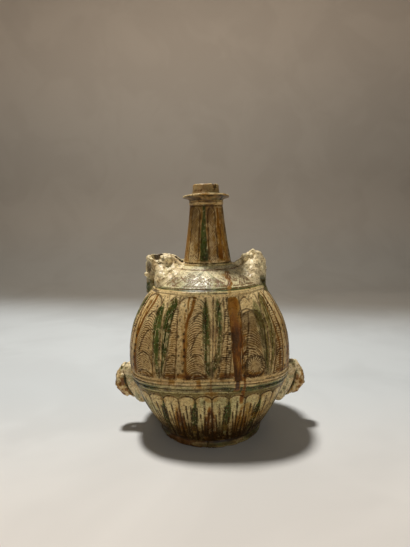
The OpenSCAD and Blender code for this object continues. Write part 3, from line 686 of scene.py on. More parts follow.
def make_lower_belly():
    """The lower bowl, with its petals; its floor is a disc of rows that close on the axis."""
    rows_out = np.linspace(FOOT_Z, WAIST_Z, 112)
    rows_in = np.linspace(WAIST_Z, FOOT_Z + 6.0, 8)

    def inner_at(z, angle):
        return section_radius(z, angle, -WALL)

    share = (np.arange(620) / 620)[None, :]
    piece = thrown("lower_belly_dressed", rows_out, rows_in, section_radius, inner_at, 800,
                   petal_ornament, 0.5)
    floor_rows = np.array([BASE_R - 0.9, 50.0, 25.0, 0.2])
    radius = np.concatenate([floor_rows, floor_rows[::-1]])[:, None] + 0 * share
    height = np.concatenate([np.full(4, FOOT_Z + 6.2), np.full(4, FOOT_Z + 0.1)])[:, None]
    return piece, ring_shell("belly_floor", radius[:, ::10], height + 0 * radius[:, ::10],
                             angle_at(share)[:, ::10])


def neck_radius(z):
    """Outer radius of the neck: it flares to the dome by a power."""
    return NECK_TOP_R + (NECK_BASE_R - NECK_TOP_R) * (1 - np.clip((z - NECK_Z) / (FLANGE_Z - NECK_Z), 0, 1)) ** 1.45


def dome_profile(count):
    """Radius and height along the dome: a curve of the second degree from the shoulder joint to the neck."""
    t = np.linspace(0, 1, count)
    height = NECK_Z - SHOULDER_Z
    rim, top = np.array([SHOULDER_R, SHOULDER_Z]), np.array([NECK_BASE_R + 0.6, NECK_Z])
    knee = np.array([SHOULDER_R - 0.88 * 0.467 * height, SHOULDER_Z + 0.467 * height])
    curve = (1 - t)[:, None] ** 2 * rim + 2 * (t * (1 - t))[:, None] * knee + (t ** 2)[:, None] * top
    return curve[:, 0], curve[:, 1]


def make_dome():
    """The shoulder dome with its scroll."""
    radius, height = dome_profile(400)
    inner_r, inner_z = dome_profile(8)
    rows_out = np.interp(np.linspace(0, 1, 90), np.linspace(0, 1, 400), height)
    return thrown("shoulder_dome_dressed", rows_out, inner_z[::-1] - 4.0 * (inner_z[::-1] > SHOULDER_Z + 1),
                  lambda z, a: np.interp(z, height, radius) + 0 * a,
                  lambda z, a: np.interp(np.clip(z + 4, SHOULDER_Z, NECK_Z), height, radius) - 5.0 + 0 * a,
                  560, dome_ornament, 0.60, "round")


def make_neck():
    """The neck, from the dome to the flange."""
    rows_out = np.linspace(NECK_Z - 1.5, FLANGE_Z, 150)
    rows_in = np.linspace(FLANGE_Z, NECK_Z - 1.5, 6)
    return thrown("neck_dressed", rows_out, rows_in, lambda z, a: neck_radius(z) + 0.3 + 0 * a,
                  lambda z, a: neck_radius(z) - NECK_WALL + 0 * a, 420, neck_ornament, 0.3, "round")


def plain_ring(name, profile, columns, change, fields=None):
    """A turned ring from a closed profile of radius and height pairs, changed a little all round."""
    share = (np.arange(columns) / columns)[None, :]
    angle = share * 2 * np.pi - math.pi / 2
    radius, height = profile[:, :1] + 0 * angle, profile[:, 1:] + 0 * angle
    radius, height = change(share, radius, height)
    values = fields(share, radius, height) if fields else None
    return ring_shell(name, radius, height, angle, values)


def dense(corners, counts):
    """A closed profile: each side between two corners is cut into so many steps."""
    corners = np.array(corners, float)
    sides = [np.linspace(corners[i], corners[(i + 1) % len(corners)], counts[i], endpoint=False)
             for i in range(len(corners))]
    return np.concatenate(sides)


def softened(profile, passes):
    """Rounds a closed profile by moving each point to the mean of itself and its neighbours."""
    for _ in range(passes):
        profile = 0.5 * profile + 0.25 * (np.roll(profile, 1, 0) + np.roll(profile, -1, 0))
    return profile


def make_foot():
    """The foot ring, worn and chipped along its lower edge."""
    inner = FOOT_R - FOOT_WIDTH
    profile = dense([(FOOT_R - 1.0, 0), (FOOT_R, 2.5), (FOOT_R, 6.5), (FOOT_R - 1.3, FOOT_Z), (inner, FOOT_Z), (inner, 0.6)],
                    [4, 8, 8, 6, 5, 6])
    profile = softened(profile, 3)

    def change(share, radius, height):
        low = ease(height, 7.5, 1.0)
        outer = ease(radius, inner + 3, FOOT_R - 2)
        chips = ease(patchy(share, height * 0, 46, 10, 71), 0.30, 0.75) + 0.6 * ease(patchy(share, height * 0, 110, 10, 72), 0.4, 0.8)
        radius = radius - outer * low * 0.9 * chips - 0.35 * outer * (1 + patchy(share, height, 60, 5, 73))
        crack = np.exp(-((np.mod(share + 0.012 + 0.5, 1) - 0.5) * 437 / 0.8) ** 2)
        radius = radius - 1.0 * crack * outer
        height = np.clip(height + 0.5 * chips * ease(height, 2.5, 0.0) * outer, 0, FOOT_Z)
        return radius, height

    def fields(share, radius, height):
        values = blank(radius.shape)
        values["line"] = np.abs((np.mod(share + 0.012 + 0.5, 1) - 0.5) * 437) + 0 * radius
        values["green"] = 0.75 * ease(patchy(share, height, 24, 9, 74), -0.3, 0.5) * ease(height, 1, 5)
        blots = patchy(share, height, 34, 4.5, 77)
        values["pale"] = ease(patchy(share, height, 26, 5, 76) + 0.3 * blots, 0.05, 0.35) * ease(height, 9, 7)
        values["dark"] = 0.18 + 0.70 * ease(height, 7.0, 9.6) + 0.60 * ease(blots, 0.0, 0.6) + 0.4 * ease(height, 1.6, 0.4)
        return values
    return plain_ring("foot_ring_dressed", profile, 720, change, fields)


def belly_band(name, low, high, proud, rows, node_fields, columns=620):
    """A raised band round the belly: rows outside stand proud by a profile, the back lies on the belly."""
    share = (np.arange(columns) / columns)[None, :]
    angle = angle_at(share)
    z = np.linspace(low, high, rows)[:, None]
    values, stand = node_fields(share, z)
    stand = np.clip(stand, 0.02, proud)
    outer = section_radius(z, angle, 0) + stand
    back = section_radius(z[::-4], angle, 0) - 0.6
    radius = np.concatenate([outer, back], 0)
    height = np.concatenate([z + 0 * angle, z[::-4] + 0 * angle], 0)
    pad = len(radius) - rows
    fields = {key: np.concatenate([values[key] + 0 * angle, np.zeros((pad, columns)) + (9.0 if key == "line" else 0)], 0)
              for key in FIELDS}
    return ring_shell(name, radius, height, angle, fields)


def make_waist_band():
    """Two rolls with a groove between them, with green glaze in the grooves and amber runs across."""
    def parts(share, z):
        values = blank(np.broadcast(share, z).shape)
        wave = 0.5 * patchy(share, z * 0, 24, 10, 81)
        y = z + wave
        stand = 1.25 * ease(y, 78.4, 79.6) * ease(y, 91.6, 90.0)
        stand = stand - 0.95 * np.exp(-((y - 82.3) / 0.8) ** 2) - 0.8 * np.exp(-((y - 87.5) / 0.7) ** 2)
        stand = stand + 0.25 * patchy(share, z, 70, 5.0, 82)
        patch = ease(patchy(share, z, 16, 9.0, 83) + 0.5 * ease(np.abs(np.mod(share + 0.5, 1) - 0.5), 0.07, 0.12), -0.1, 0.5)
        spots = patchy(share, z, 90, 3.5, 85)
        draw(values, np.abs(y - 82.3) + 0.25 + 0.35 * spots, ease(spots, -0.9, -0.3) + 0 * z)
        draw(values, np.abs(y - 87.5) + 0.30 + 0.35 * spots, ease(spots, -0.6, 0.0) + 0 * z)
        values["green"] = np.maximum((0.65 + 0.6 * patch) * ease(np.abs(y - 83.0), 2.6, 0.8), 0.42 * ease(np.abs(y - 85.4), 2.3, 1.3))
        values["green"] = np.clip(np.maximum(values["green"], (0.50 + 0.65 * patch) * ease(y, 82.2, 81.0))
                                  + 0.25 * patchy(share, z, 40, 7.0, 84), 0, 1.15)
        values["pale"] = np.maximum(0.75 * ease(np.abs(y - 90.2), 2.6, 1.4), 0.50 * ease(y, 82.0, 81.2) * (1 - patch))
        values["pale"] = np.maximum(values["pale"], 0.45 * ease(np.abs(y - 85.4), 2.2, 1.2)) * (0.9 + 0.4 * spots)
        values["amber"] = 0.30 * ease(np.abs(y - 89.6), 2.2, 1.0) * ease(patchy(share, z, 26, 9.0, 86), -0.4, 0.4) + 0 * share
        values["dark"] = np.maximum(0.45 * ease(np.abs(y - 82.3), 1.2, 0.5), 0.40 * ease(np.abs(y - 87.5), 1.0, 0.4))
        values["dark"] = np.maximum(values["dark"], 0.55 * ease(spots, 0.25, 0.75) + 0.50 * ease(y, 82.2, 80.0))
        return drips(share, z, values), stand
    return belly_band("waist_band_dressed", 78.5, 91.5, 1.6, 34, parts)


def make_cordon():
    """The low cordon over the shoulder joint, with a green line along each edge."""
    share_count = 560
    rows = np.linspace(194.2, 199.8, 26)
    radius_d, height_d = dome_profile(200)

    def outside(z, angle):
        return np.where(z < SHOULDER_Z, section_radius(np.minimum(z, SHOULDER_Z), angle),
                        np.interp(z, height_d, radius_d) + 0 * angle)

    share = (np.arange(share_count) / share_count)[None, :]
    angle = share * 2 * np.pi - math.pi / 2
    z = rows[:, None]
    y = z + 0.35 * patchy(share, z * 0, 19, 10, 91)
    values = blank(np.broadcast(share, z).shape)
    stand = 1.35 * ease(y, 194.2, 195.8) * ease(y, 199.9, 198.0) - 0.4 * np.exp(-((y - 196.2) / 0.6) ** 2)
    stand = np.clip(stand + 0.15 * patchy(share, z, 60, 4.0, 92), 0.02, 1.6)
    draw(values, np.abs(y - 196.2), ease(patchy(share, z * 0, 30, 10, 95), -0.1, 0.3) + 0 * z)
    tint = ease(patchy(share, z, 14, 8.0, 94), -0.4, 0.5)
    values["green"] = np.maximum(1.1 * ease(y, 198.0, 199.2), 0.50 * tint)
    values["dark"] = 0.5 * ease(y, 198.3, 199.6) * ease(patchy(share, z * 0, 22, 10, 96), -0.5, 0.2)
    values["pale"] = 0.95 * ease(y, 198.6, 197.6)
    spill = ease(np.abs((np.mod(share - 0.052 + 0.5, 1) - 0.5) * 400), 6, 3)
    values["amber"] = 0.30 * spill * ease(patchy(share, z * 0, 90, 10, 97), -0.5, 0.4) + 0 * z
    outer = outside(z, angle) + stand
    back = outside(z[::-5], angle) - 0.8
    radius = np.concatenate([outer, back], 0)
    height = np.concatenate([z + 0 * angle, z[::-5] + 0 * angle], 0)
    pad = len(radius) - len(rows)
    fields = {key: np.concatenate([values[key] + 0 * angle, np.zeros((pad, share_count)) + (9.0 if key == "line" else 0)], 0)
              for key in FIELDS}
    return ring_shell("shoulder_cordon_dressed", radius, height, angle, fields)


def make_neck_ring():
    """The low ring under the flange, with two fine grooves."""
    low = FLANGE_Z - 9
    inner = NECK_TOP_R - 1.5
    profile = dense([(NECK_TOP_R + 0.7, low), (NECK_TOP_R + 1.3, low + 1.2), (NECK_TOP_R + 0.8, FLANGE_Z - 0.6),
                     (inner, FLANGE_Z - 0.6), (inner, low)], [3, 26, 4, 4, 4])

    def change(share, radius, height):
        y = height + 0.3 * patchy(share, height * 0, 9, 10, 93)
        outer = ease(radius, NECK_TOP_R, NECK_TOP_R + 0.6)
        cut = groove(np.abs(y - (low + 3)), 0.9, 0.45) + groove(np.abs(y - (low + 5.6)), 0.9, 0.4)
        return radius - outer * cut, height

    def fields(share, radius, height):
        values = blank(radius.shape)
        values["line"] = np.minimum(np.abs(height - low - 3), np.abs(height - low - 5.6)) + 0.5
        values["pale"] = 0.35 * ease(height, low + 5, low + 2) * (1 + patchy(share, height, 18, 5, 111)) + 0 * radius
        values["dark"] = np.maximum(0.6 * ease(height, low + 2.5, low + 6), 0.5 * ease(patchy(share, height, 30, 4, 112), 0.1, 0.7))
        values["amber"] = 0.35 * ease(patchy(share, height, 12, 6, 94), -0.2, 0.6)
        values["green"] = 0.4 * ease(patchy(share, height, 10, 7, 95), 0.2, 0.8)
        return values
    return plain_ring("neck_ring_dressed", profile, 300, change, fields)


def make_flange():
    """The thin flange: hollowed like a trumpet below, with a rounded, slightly wavy rim that is highest in front."""
    lip = 1.3
    rim_z = FLANGE_Z + 1.3
    turn = np.linspace(-math.pi / 2, math.pi / 2, 13)
    rim = np.stack([FLANGE_R - lip + lip * np.cos(turn), rim_z + lip * np.sin(turn)], -1)
    start = np.array([NECK_TOP_R + 0.8, FLANGE_Z - 5.0])
    sweep = np.linspace(0, math.pi / 2, 13)[:-1]
    under = np.stack([start[0] + (rim[0, 0] - start[0]) * (1 - np.cos(sweep)), start[1] + (rim[0, 1] - start[1]) * np.sin(sweep)], -1)
    over = np.linspace(rim[-1], (COLLAR_R + 1.2, COLLAR_Z + 0.6), 14)[1:]
    inside = np.array([(MOUTH_R + 0.3, COLLAR_Z), (MOUTH_R, COLLAR_Z - 1), (MOUTH_R, FLANGE_Z + 1), (MOUTH_R + 0.3, FLANGE_Z),
                       (NECK_TOP_R - 1.0, FLANGE_Z), (NECK_TOP_R - 1.0, FLANGE_Z - 5.0)])
    profile = np.concatenate([under, rim, over, inside])

    def change(share, radius, height):
        out = ease(radius, COLLAR_R + 5, FLANGE_R)
        wave = 0.45 * patchy(share, height * 0, 7, 10, 96) + 0.2 * patchy(share, height * 0, 24, 10, 97)
        nick = 0.9 * ease(patchy(share, height * 0, 30, 10, 98), 0.55, 0.9)
        raised = 1.5 * np.cos(2 * np.pi * share)
        return radius - out * (0.35 + 0.35 * patchy(share, height * 0, 11, 10, 99) + nick), height + out * (wave + raised)

    def fields(share, radius, height):
        values = blank(radius.shape)
        values["pale"] = 0.5 * ease(patchy(share, radius, 12, 6, 100), -0.3, 0.6)
        row = np.arange(len(radius))[:, None] + 1.2 * patchy(share, height * 0, 30, 3, 109)
        # Painted shade: the rows under the flange are darkened unevenly. Painted highlight: the rows round the rim are
        # paler
        below = ease(row, 16.5, 14.0)
        values["dark"] = np.clip(below * (0.80 + 0.5 * patchy(share, radius, 34, 3, 110)), 0, 1)
        values["pale"] = np.maximum(values["pale"], ease(row, 15, 17) * ease(row, 27, 25)) * (1 - below)
        values["amber"] = 0.45 * ease(patchy(share, radius, 14, 8, 101), 0.1, 0.7)
        values["green"] = 0.25 * ease(patchy(share, radius, 10, 7, 102), 0.1, 0.7)
        return values
    return plain_ring("mouth_flange_dressed", profile, 420, change, fields)


def make_collar():
    """The open collar: a rounded rim that leans in, with a chip on the right of its top."""
    outer = [(COLLAR_R + 1.1, COLLAR_Z - 0.3), (COLLAR_R - 0.1, COLLAR_Z + 3.0), (COLLAR_R - 0.7, TOP_Z - 3.2)]
    turn = np.linspace(0, math.pi, 15)
    crown_r = 0.5 * (COLLAR_R - 1.0 + MOUTH_R)
    half = 0.5 * (COLLAR_R - 1.0 - MOUTH_R)
    crown = np.stack([crown_r + half * np.cos(turn), TOP_Z - 2.0 + 2.0 * np.sin(turn)], -1)
    sides = np.concatenate([np.linspace(outer[0], outer[1], 12, endpoint=False), np.linspace(outer[1], crown[0], 10, endpoint=False)])
    inside = np.linspace((MOUTH_R, TOP_Z - 3), (MOUTH_R, COLLAR_Z - 0.3), 10)
    profile = np.concatenate([sides, crown, inside])

    def chip(share, height):
        off = (np.mod(share - 0.115 + 0.5, 1) - 0.5) * 113
        return ease(np.hypot(off / 4.8, (TOP_Z - 1.5 - height) / 7.0) + 0.30 * patchy(share, height, 60, 1.6, 103), 1.05, 0.6)

    def change(share, radius, height):
        broken = chip(share, height)
        out = ease(radius, crown_r - 1, COLLAR_R - 1)
        wave = 0.25 * patchy(share, height, 12, 8, 104) + 0.12 * patchy(share, height, 40, 3, 105)
        radius = radius - out * (0.25 + wave) - 0.9 * broken * out
        return radius, height - 0.8 * broken * ease(height, TOP_Z - 5, TOP_Z) - 0.3 * ease(height, TOP_Z - 3, TOP_Z) * (
            1 + patchy(share, height * 0, 9, 10, 106))

    def fields(share, radius, height):
        values = blank(radius.shape)
        broken = chip(share, height)
        # Painted shade: darker in the chip and towards the collar's foot. Painted highlight: paler along the top of the
        # rim
        values["dark"] = np.maximum(0.98 * ease(broken, 0.15, 0.5), 0.35 * ease(height, TOP_Z - 3, COLLAR_Z))
        values["pale"] = 0.5 * ease(patchy(share, height, 12, 6, 107), -0.2, 0.6) + 0.4 * ease(height, TOP_Z - 2.2, TOP_Z - 0.8)
        values["amber"] = 0.3 * ease(patchy(share, height, 12, 6, 108), 0.2, 0.8)
        return values
    return plain_ring("mouth_collar_dressed", profile, 420, change, fields)


# Sculpted lugs, as distance fields

def whole_skin(quads, cells):
    """The quads of the largest skin: crumbs at thin edges and closed bubbles share no point with it.

    Every point takes the lowest number among its neighbours, and the number of that number, until nothing changes.
    """
    skin = np.arange(cells)
    before = None
    while before is None or (skin != before).any():
        before = skin.copy()
        np.minimum.at(skin, quads.ravel(), np.repeat(before[quads].min(1), 4))
        skin = skin[skin]
    skin = skin[quads[:, 0]]
    return quads[skin == np.bincount(skin).argmax()]


def skin_of(name, field, low, step, fields_at):
    """Skin of a solid given as distances on a grid.

    Each cell that the surface crosses gets one point, at the mean of the crossings on its edges, and each
    crossed grid edge gets one quad through the four cells round it. Broken lumps with holes through them
    have no two-parameter form, so they are made this way.
    """
    shape = np.array(field.shape)
    cells = shape - 1
    total = np.zeros((cells.prod(), 3))
    count = np.zeros(cells.prod())
    strides = np.array([cells[1] * cells[2], cells[2], 1])
    inside = field < 0
    faces = []
    for axis in range(3):
        near = [slice(None)] * 3
        far = [slice(None)] * 3
        near[axis], far[axis] = slice(0, -1), slice(1, None)
        crossed = np.argwhere(inside[tuple(near)] != inside[tuple(far)])
        step_to = np.eye(3, dtype=int)[axis]
        first = field[tuple(crossed.T)]
        second = field[tuple((crossed + step_to).T)]
        where = crossed + (first / (first - second))[:, None] * step_to
        b, c = (axis + 1) % 3, (axis + 2) % 3
        ring = []
        for db, dc in ((0, 0), (-1, 0), (-1, -1), (0, -1)):
            cell = crossed.copy()
            cell[:, b] += db
            cell[:, c] += dc
            flat = (cell * strides).sum(1)
            np.add.at(total, flat, where)
            np.add.at(count, flat, 1)
            ring.append(flat)
        quad = np.stack(ring, -1)
        turned = first < 0
        quad[~turned] = quad[~turned][:, ::-1]
        faces.append(quad)
    quads = whole_skin(np.concatenate(faces), len(count))
    used = np.zeros(len(count), bool)
    used[quads] = True
    number = np.cumsum(used) - 1
    points = low + step * total[used] / count[used][:, None]
    return put_mesh(name, points, number[quads], fields_at(points))


def grid_of(low, high, step):
    """Points of a grid in space."""
    axes = [np.arange(low[i], high[i] + step, step) for i in range(3)]
    return np.stack(np.meshgrid(*axes, indexing="ij"), -1)


def ball(p, centre, radius):
    """Distance to an ellipsoid, near enough: a sphere stretched by its three radii."""
    radius = np.broadcast_to(np.array(radius, float), (3,))
    q = (p - np.array(centre)) / radius
    return (np.sqrt((q ** 2).sum(-1)) - 1) * radius.min()


def rod(p, start, end, r_start, r_end=None):
    """Distance to a rod with round ends, thicker or thinner towards its end."""
    start, end = np.array(start, float), np.array(end, float)
    r_end = r_start if r_end is None else r_end
    along = end - start
    t = np.clip(((p - start) @ along) / (along @ along), 0, 1)
    return np.sqrt(((p - start - t[..., None] * along) ** 2).sum(-1)) - (r_start + (r_end - r_start) * t)


def slab(p, centre, half, rounding):
    """Distance to a block with rounded edges."""
    q = np.abs(p - np.array(centre)) - np.array(half) + rounding
    return np.sqrt((np.maximum(q, 0) ** 2).sum(-1)) + np.minimum(q.max(-1), 0) - rounding


def post(p, x, y, radius):
    """Distance to an upright round bore or post."""
    return np.hypot(p[..., 0] - x, p[..., 1] - y) - radius


def join(a, b, soft):
    """Union with a soft seam."""
    h = np.clip(0.5 + 0.5 * (b - a) / soft, 0, 1)
    return b * (1 - h) + a * h - soft * h * (1 - h)


def cut(a, b, soft):
    """The first with the second taken away, with a soft edge."""
    return -join(-a, b, soft)


def body_distance(p):
    """Distance to the flask's body under the lugs: the dome, the belly and the neck, near enough."""
    radius, height = dome_profile(120)
    r = np.hypot(p[..., 0], p[..., 1])
    z = p[..., 2]
    angle = np.arctan2(p[..., 1], p[..., 0])
    dome = (r - np.interp(z, height, radius)) * 0.62
    belly = (r - section_radius(z, angle)) * 0.96
    neck = r - neck_radius(z)
    return np.where(z > NECK_Z, neck, np.where(z > SHOULDER_Z, dome, belly))


def paint_lug(tint, holes, seed, extra=None):
    """Fields for a lug's skin: hollows and pits are darkened as painted shade, the rest is pale with green and amber
    stains.
    """
    def at(points):
        values = {key: np.zeros(len(points)) for key in FIELDS}
        rough, spots = lumpy(points, 5.0, seed), lumpy(points, 2.6, seed + 3)
        values["line"] = 9.0 + 0 * rough
        values["pale"] = np.clip(tint[0] + 0.35 * rough + 0.2 * spots, 0, 1)
        values["green"] = tint[1] * ease(lumpy(points, 9.0, seed + 1), 0.15, 0.6)
        values["amber"] = tint[2] * ease(lumpy(points, 7.0, seed + 2), 0.05, 0.5)
        values["dark"] = 0.55 * ease(spots + 0.5 * rough, 0.45, 0.85)
        # Painted shade in each hollow and pit
        for centre, radius, _, shade in holes:
            values["dark"] = np.maximum(values["dark"], shade * ease(ball(points, centre, radius), 1.4, 0.0))
        if extra:
            extra(points, values, rough)
        return values
    return at


def sculpt(name, solid, holes, low, high, step, tint, seed, soft=0.0, bore=None, extra=None):
    """Roughens a solid, lets it run softly into the body below, cuts its holes and skins it."""
    p = grid_of(low, high, step)
    field = solid(p) + 0.60 * lumpy(p, 4.6, seed) + 0.50 * lumpy(p, 2.3, seed + 7)
    body = body_distance(p)
    if soft:
        field = join(field, body + 0.6, soft)
    for centre, radius, blend, _ in holes:
        field = cut(field, ball(p, centre, radius), blend)
    if bore:
        field = cut(field, post(p, *bore), 0.8)
    field = np.maximum(field, -(body + 0.5))
    edge = np.full(field.shape, 5.0)
    edge[1:-1, 1:-1, 1:-1] = field[1:-1, 1:-1, 1:-1]
    return skin_of(name, edge, np.array(low, float), step, paint_lug(tint, holes, seed, extra))


def chain(p, places, soft):
    """Rods end to end through places with a thickness each."""
    total = None
    for (a, ra), (b, rb) in zip(places[:-1], places[1:]):
        piece = rod(p, a, b, ra, rb)
        total = piece if total is None else join(total, piece, soft)
    return total


# Hollows of the shoulder lugs: centre, radii, softness and how much painted shade darkens them
LEFT_HOLES = (((-66.0, -0.6, 238.5), (6.6, 4.4, 9.0), 0.9, 1.0), ((-42.5, -1.0, 234.5), (3.4, 3.2, 3.0), 0.8, 1.0),
              ((-38.6, -1.0, 230.6), (3.4, 3.2, 3.0), 0.8, 1.0), ((-35.0, -1.0, 227.2), (2.8, 3.0, 2.4), 0.8, 1.0),
              ((-80.0, -9.5, 223.5), (5.2, 5.0, 7.6), 2.2, 0.80), ((-84.0, -10.0, 204.5), (5.0, 5.0, 5.5), 2.6, 0.45))
LEFT_PITS = (((-58.5, -18.0, 232.6), (1.6, 2.0, 1.4), 0.7, 0.9), ((-61.7, -16.8, 227.4), (2.3, 2.2, 1.5), 0.7, 0.9),
             ((-65.4, -14.5, 231.0), (1.3, 1.6, 1.2), 0.5, 0.6))
RIGHT_HOLES = (((41.0, -6.5, 225.5), (5.6, 5.4, 6.2), 2.0, 0.70), ((73.5, -14.5, 205.0), (8.0, 6.0, 4.4), 1.6, 0.60),
               ((79.5, -6.0, 216.0), (2.4, 3.6, 1.6), 1.0, 0.5))
RIGHT_PITS = (((63.0, -12.4, 228.2), (1.7, 2.4, 1.8), 0.7, 0.90), ((55.0, -12.0, 228.4), (1.6, 2.4, 1.7), 0.7, 0.85),
              ((55.8, -14.0, 221.8), (1.4, 2.2, 1.3), 0.7, 0.80), ((63.5, -14.5, 219.8), (1.0, 2.0, 2.4), 0.8, 0.60),
              ((62.8, -8.6, 238.4), (1.3, 2.2, 1.8), 0.8, 0.60), ((68.8, -10.6, 226.0), (1.0, 2.4, 4.0), 0.8, 0.65),
              ((54.4, -8.6, 236.0), (1.0, 2.2, 2.4), 0.8, 0.55))

# Tops of the worn stumps, in front and behind: from the outside to the neck
LEFT_FRONT_TOP = ((-84, 228), (-78, 235), (-73, 235), (-70, 232), (-63, 231.5), (-60, 236), (-54, 238.5), (-49, 238), (-44.5, 236),
                  (-34, 225.5), (-28, 221))
LEFT_BACK_TOP = ((-84, 231), (-76, 239), (-62, 240), (-50, 239), (-43, 237), (-29, 228))
RIGHT_TOP = ((28, 222), (36, 226), (44, 231.5), (46, 235), (49, 237.5), (53, 236), (57, 240), (61, 243), (65, 241), (69, 240), (73, 237),
             (77, 229), (80, 222))


def under_top(p, top, solid):
    """Cuts a solid off above a jagged line of tops across x."""
    line = np.interp(p[..., 0], *np.array(top, float).T)
    return cut(solid, line - p[..., 2], 1.6)


def left_shoulder_lug(p):
    """A broken stump that runs to the neck: thin back wall, slot, worn front, strap tube, and a skirt on the dome."""
    behind = under_top(p, LEFT_BACK_TOP, slab(p, (-54, 4.2, 214), (26.0, 2.6, 27.0), 2.0))
    front = slab(p, (-55, -6.0, 214), (22.0, 5.0, 27), 4.0)
    tube = post(p, -74, 0, 8.8)
    front = under_top(p, LEFT_FRONT_TOP, join(front, tube, 4))
    wedge = under_top(p, LEFT_FRONT_TOP, slab(p, (-42, 0, 214), (14.0, 6.0, 16.0), 3.0))
    skirt = join(rod(p, (-61, -9, 222), (-58, -24, 206), 9.0, 11.0), rod(p, (-48, -8, 222), (-42, -22, 210), 8.0, 8.5), 7)
    skirt = join(skirt, rod(p, (-38, -6, 217), (-34, -12, 213), 6.0, 6.0), 6)
    solid = join(join(behind, front, 1.5), join(wedge, skirt, 7), 5)
    solid = join(solid, ball(p, (-77.5, -4.0, 234.2), (4.4, 4.6, 4.2)), 1.2)
    return join(solid, ball(p, (-82.6, -4.0, 213.2), (2.8, 3.6, 2.8)), 1.4)


def left_shoulder_mask(p):
    """An animal's snout and jaw on the front of the left stump, worn, with pits where nostrils may have been."""
    snout = ball(p, (-53.6, -8.5, 233.4), (8.2, 8.6, 6.4))
    brow = rod(p, (-60, -10.5, 236.2), (-50, -9.0, 237.4), 2.6, 2.6)
    jaw = ball(p, (-62.6, -11.5, 228.4), (4.2, 4.8, 3.8))
    cheek = ball(p, (-56, -8.5, 223.0), (11.0, 9.0, 9.0))
    return join(join(snout, brow, 1.4), join(jaw, cheek, 2.4), 2.4)


def leaned(p):
    """Points moved so that a shape made upright leans back from the front."""
    return np.stack([p[..., 0], p[..., 1] - 0.34 * (p[..., 2] - 216), p[..., 2]], -1)


def right_shoulder_lug(p):
    """The taller stump on the right: a jagged top with knobs, an overhang low down, and a thin wall to the neck."""
    trunk = join(slab(leaned(p), (62.0, -3.0, 214), (14.0, 9.5, 32), 5.0), post(p, 69.5, 0, 8.8), 3)
    plate = slab(p, (44, 2.6, 214), (13, 2.2, 22), 1.8)
    solid = under_top(p, RIGHT_TOP, join(trunk, plate, 2.0))
    skirt = join(rod(p, (60, -9, 222), (57, -20, 205), 9.5, 11.0), rod(p, (50, -7, 217), (42, -15, 209), 7.0, 8.0), 6)
    ledge = rod(p, (68, -9.5, 216), (76.5, -3.0, 217), 5.0, 3.4)
    solid = join(join(solid, skirt, 6), ledge, 3)
    knobs = ((49.5, -5.5, 234.2, 4.6), (69.4, -5.0, 237.0, 3.4), (74.2, -4.0, 228.0, 3.6), (61.0, -1.5, 240.5, 3.4), (55.0, -4, 234.5, 3.6))
    for x, y, z, r in knobs:
        solid = join(solid, ball(p, (x, y, z), r), 1.5)
    return solid


def right_shoulder_mask(p):
    """An animal's face on the right stump, leaning back: knobs, cheeks, a worn muzzle and a ridge on the outside."""
    q = leaned(p)
    solid = ball(q, (60.5, -8.0, 226), (12.0, 6.4, 14.0))
    ridge = chain(q, (((68.5, -10.0, 239), 2.6), ((71.8, -9.5, 230), 3.0), ((71.0, -11.0, 220), 3.4), ((66.0, -13.5, 212), 3.4)), 1.4)
    solid = join(solid, ridge, 1.4)
    lumps = ((50.0, -11.0, 233.0, 4.6), (58.7, -13.0, 234.5, 3.8), (55.0, -13.5, 217.5, 4.0), (62.0, -14.5, 215.5, 4.2),
             (66.0, -12.0, 232.0, 3.2), (59.4, -14.5, 225.0, 3.2), (51.5, -11.5, 224.0, 3.4), (66.5, -13.5, 223.5, 2.8))
    for x, y, z, r in lumps:
        solid = join(solid, ball(q, (x, y, z), r), 1.1)
    return solid


CREASE = ((116.8, 74.0), (106.2, 46.0))


def beside_crease(q):
    """Distance to the side lug's long crease, positive on the outer side."""
    (ax, az), (bx, bz) = CREASE
    length = math.hypot(ax - bx, az - bz)
    bow = 1.8 * np.sin(np.pi * np.clip((q[..., 2] - bz) / (az - bz), 0, 1))
    return ((q[..., 0] - bx) * (az - bz) - (q[..., 2] - bz) * (ax - bx)) / length - bow


def side_lug(sign, drop, broken):
    """An ear-shaped lug: an outer lobe and an inner pad with a deep crease between them, and a strap bore."""
    def solid(p):
        q = p * np.array([sign, 1, 1]) + np.array([0, 0, drop])
        lobe = ball(q, (110.5, 0, 67.0), (20.5, 12.5, 25.0))
        crown = ball(q, (108.0, -4.0, 83.0), (11.0, 8.5, 8.5))
        pad = join(rod(q, (103, -4, 70), (92, -9, 47), 11.5, 10.0), ball(q, (97, -2, 58), (15, 13, 19)), 4)
        lump = join(join(lobe, crown, 3.5), pad, 4)
        away = beside_crease(q)
        lane = ease(q[..., 2], 40, 46) * ease(q[..., 2], 80, 73) * ease(q[..., 1], -4, -8)
        lump = lump + 3.4 * np.exp(-(away / 1.5) ** 2) * lane
        lump = lump + 1.3 * np.exp(-((away - 7.5) / 1.4) ** 2) * lane * broken
        lump = cut(lump, post(q, 113, 0, 3.7), 0.8)
        lump = np.maximum(lump, ((q[..., 0] - 131.5) + 0.80 * (59 - q[..., 2])) * 0.75)
        lump = np.maximum(lump, ((q[..., 0] - 129.0) + 0.62 * (q[..., 2] - 76)) * 0.85)
        return np.maximum(lump, p[..., 0] * sign - 130.2)
    return solid


def side_boss(sign, drop, shape):
    """The rounded mask lump on the outside of a side lug, with a curl and a broken edge."""
    def solid(p):
        q = p * np.array([sign, 1, 1]) + np.array([0, 0, drop])
        lump = ball(q, (120.6, -2.0, 65.5), shape)
        curl = chain(q, (((119, -10.5, 76), 2.2), ((125.5, -9.0, 72), 2.2), ((127.0, -8.5, 62), 2.4), ((121, -9.5, 55), 2.2)), 1.2)
        lump = join(lump, curl, 1.4)
        lump = cut(lump, ball(q, (123.0, -13.2, 66.0), (2.4, 2.8, 4.4)), 0.8)
        lump = cut(lump, post(q, 113, 0, 3.7), 0.8)
        lump = np.maximum(lump, ((q[..., 0] - 131.5) + 0.80 * (59 - q[..., 2])) * 0.75)
        return np.maximum(lump, p[..., 0] * sign - 130.5)
    return solid


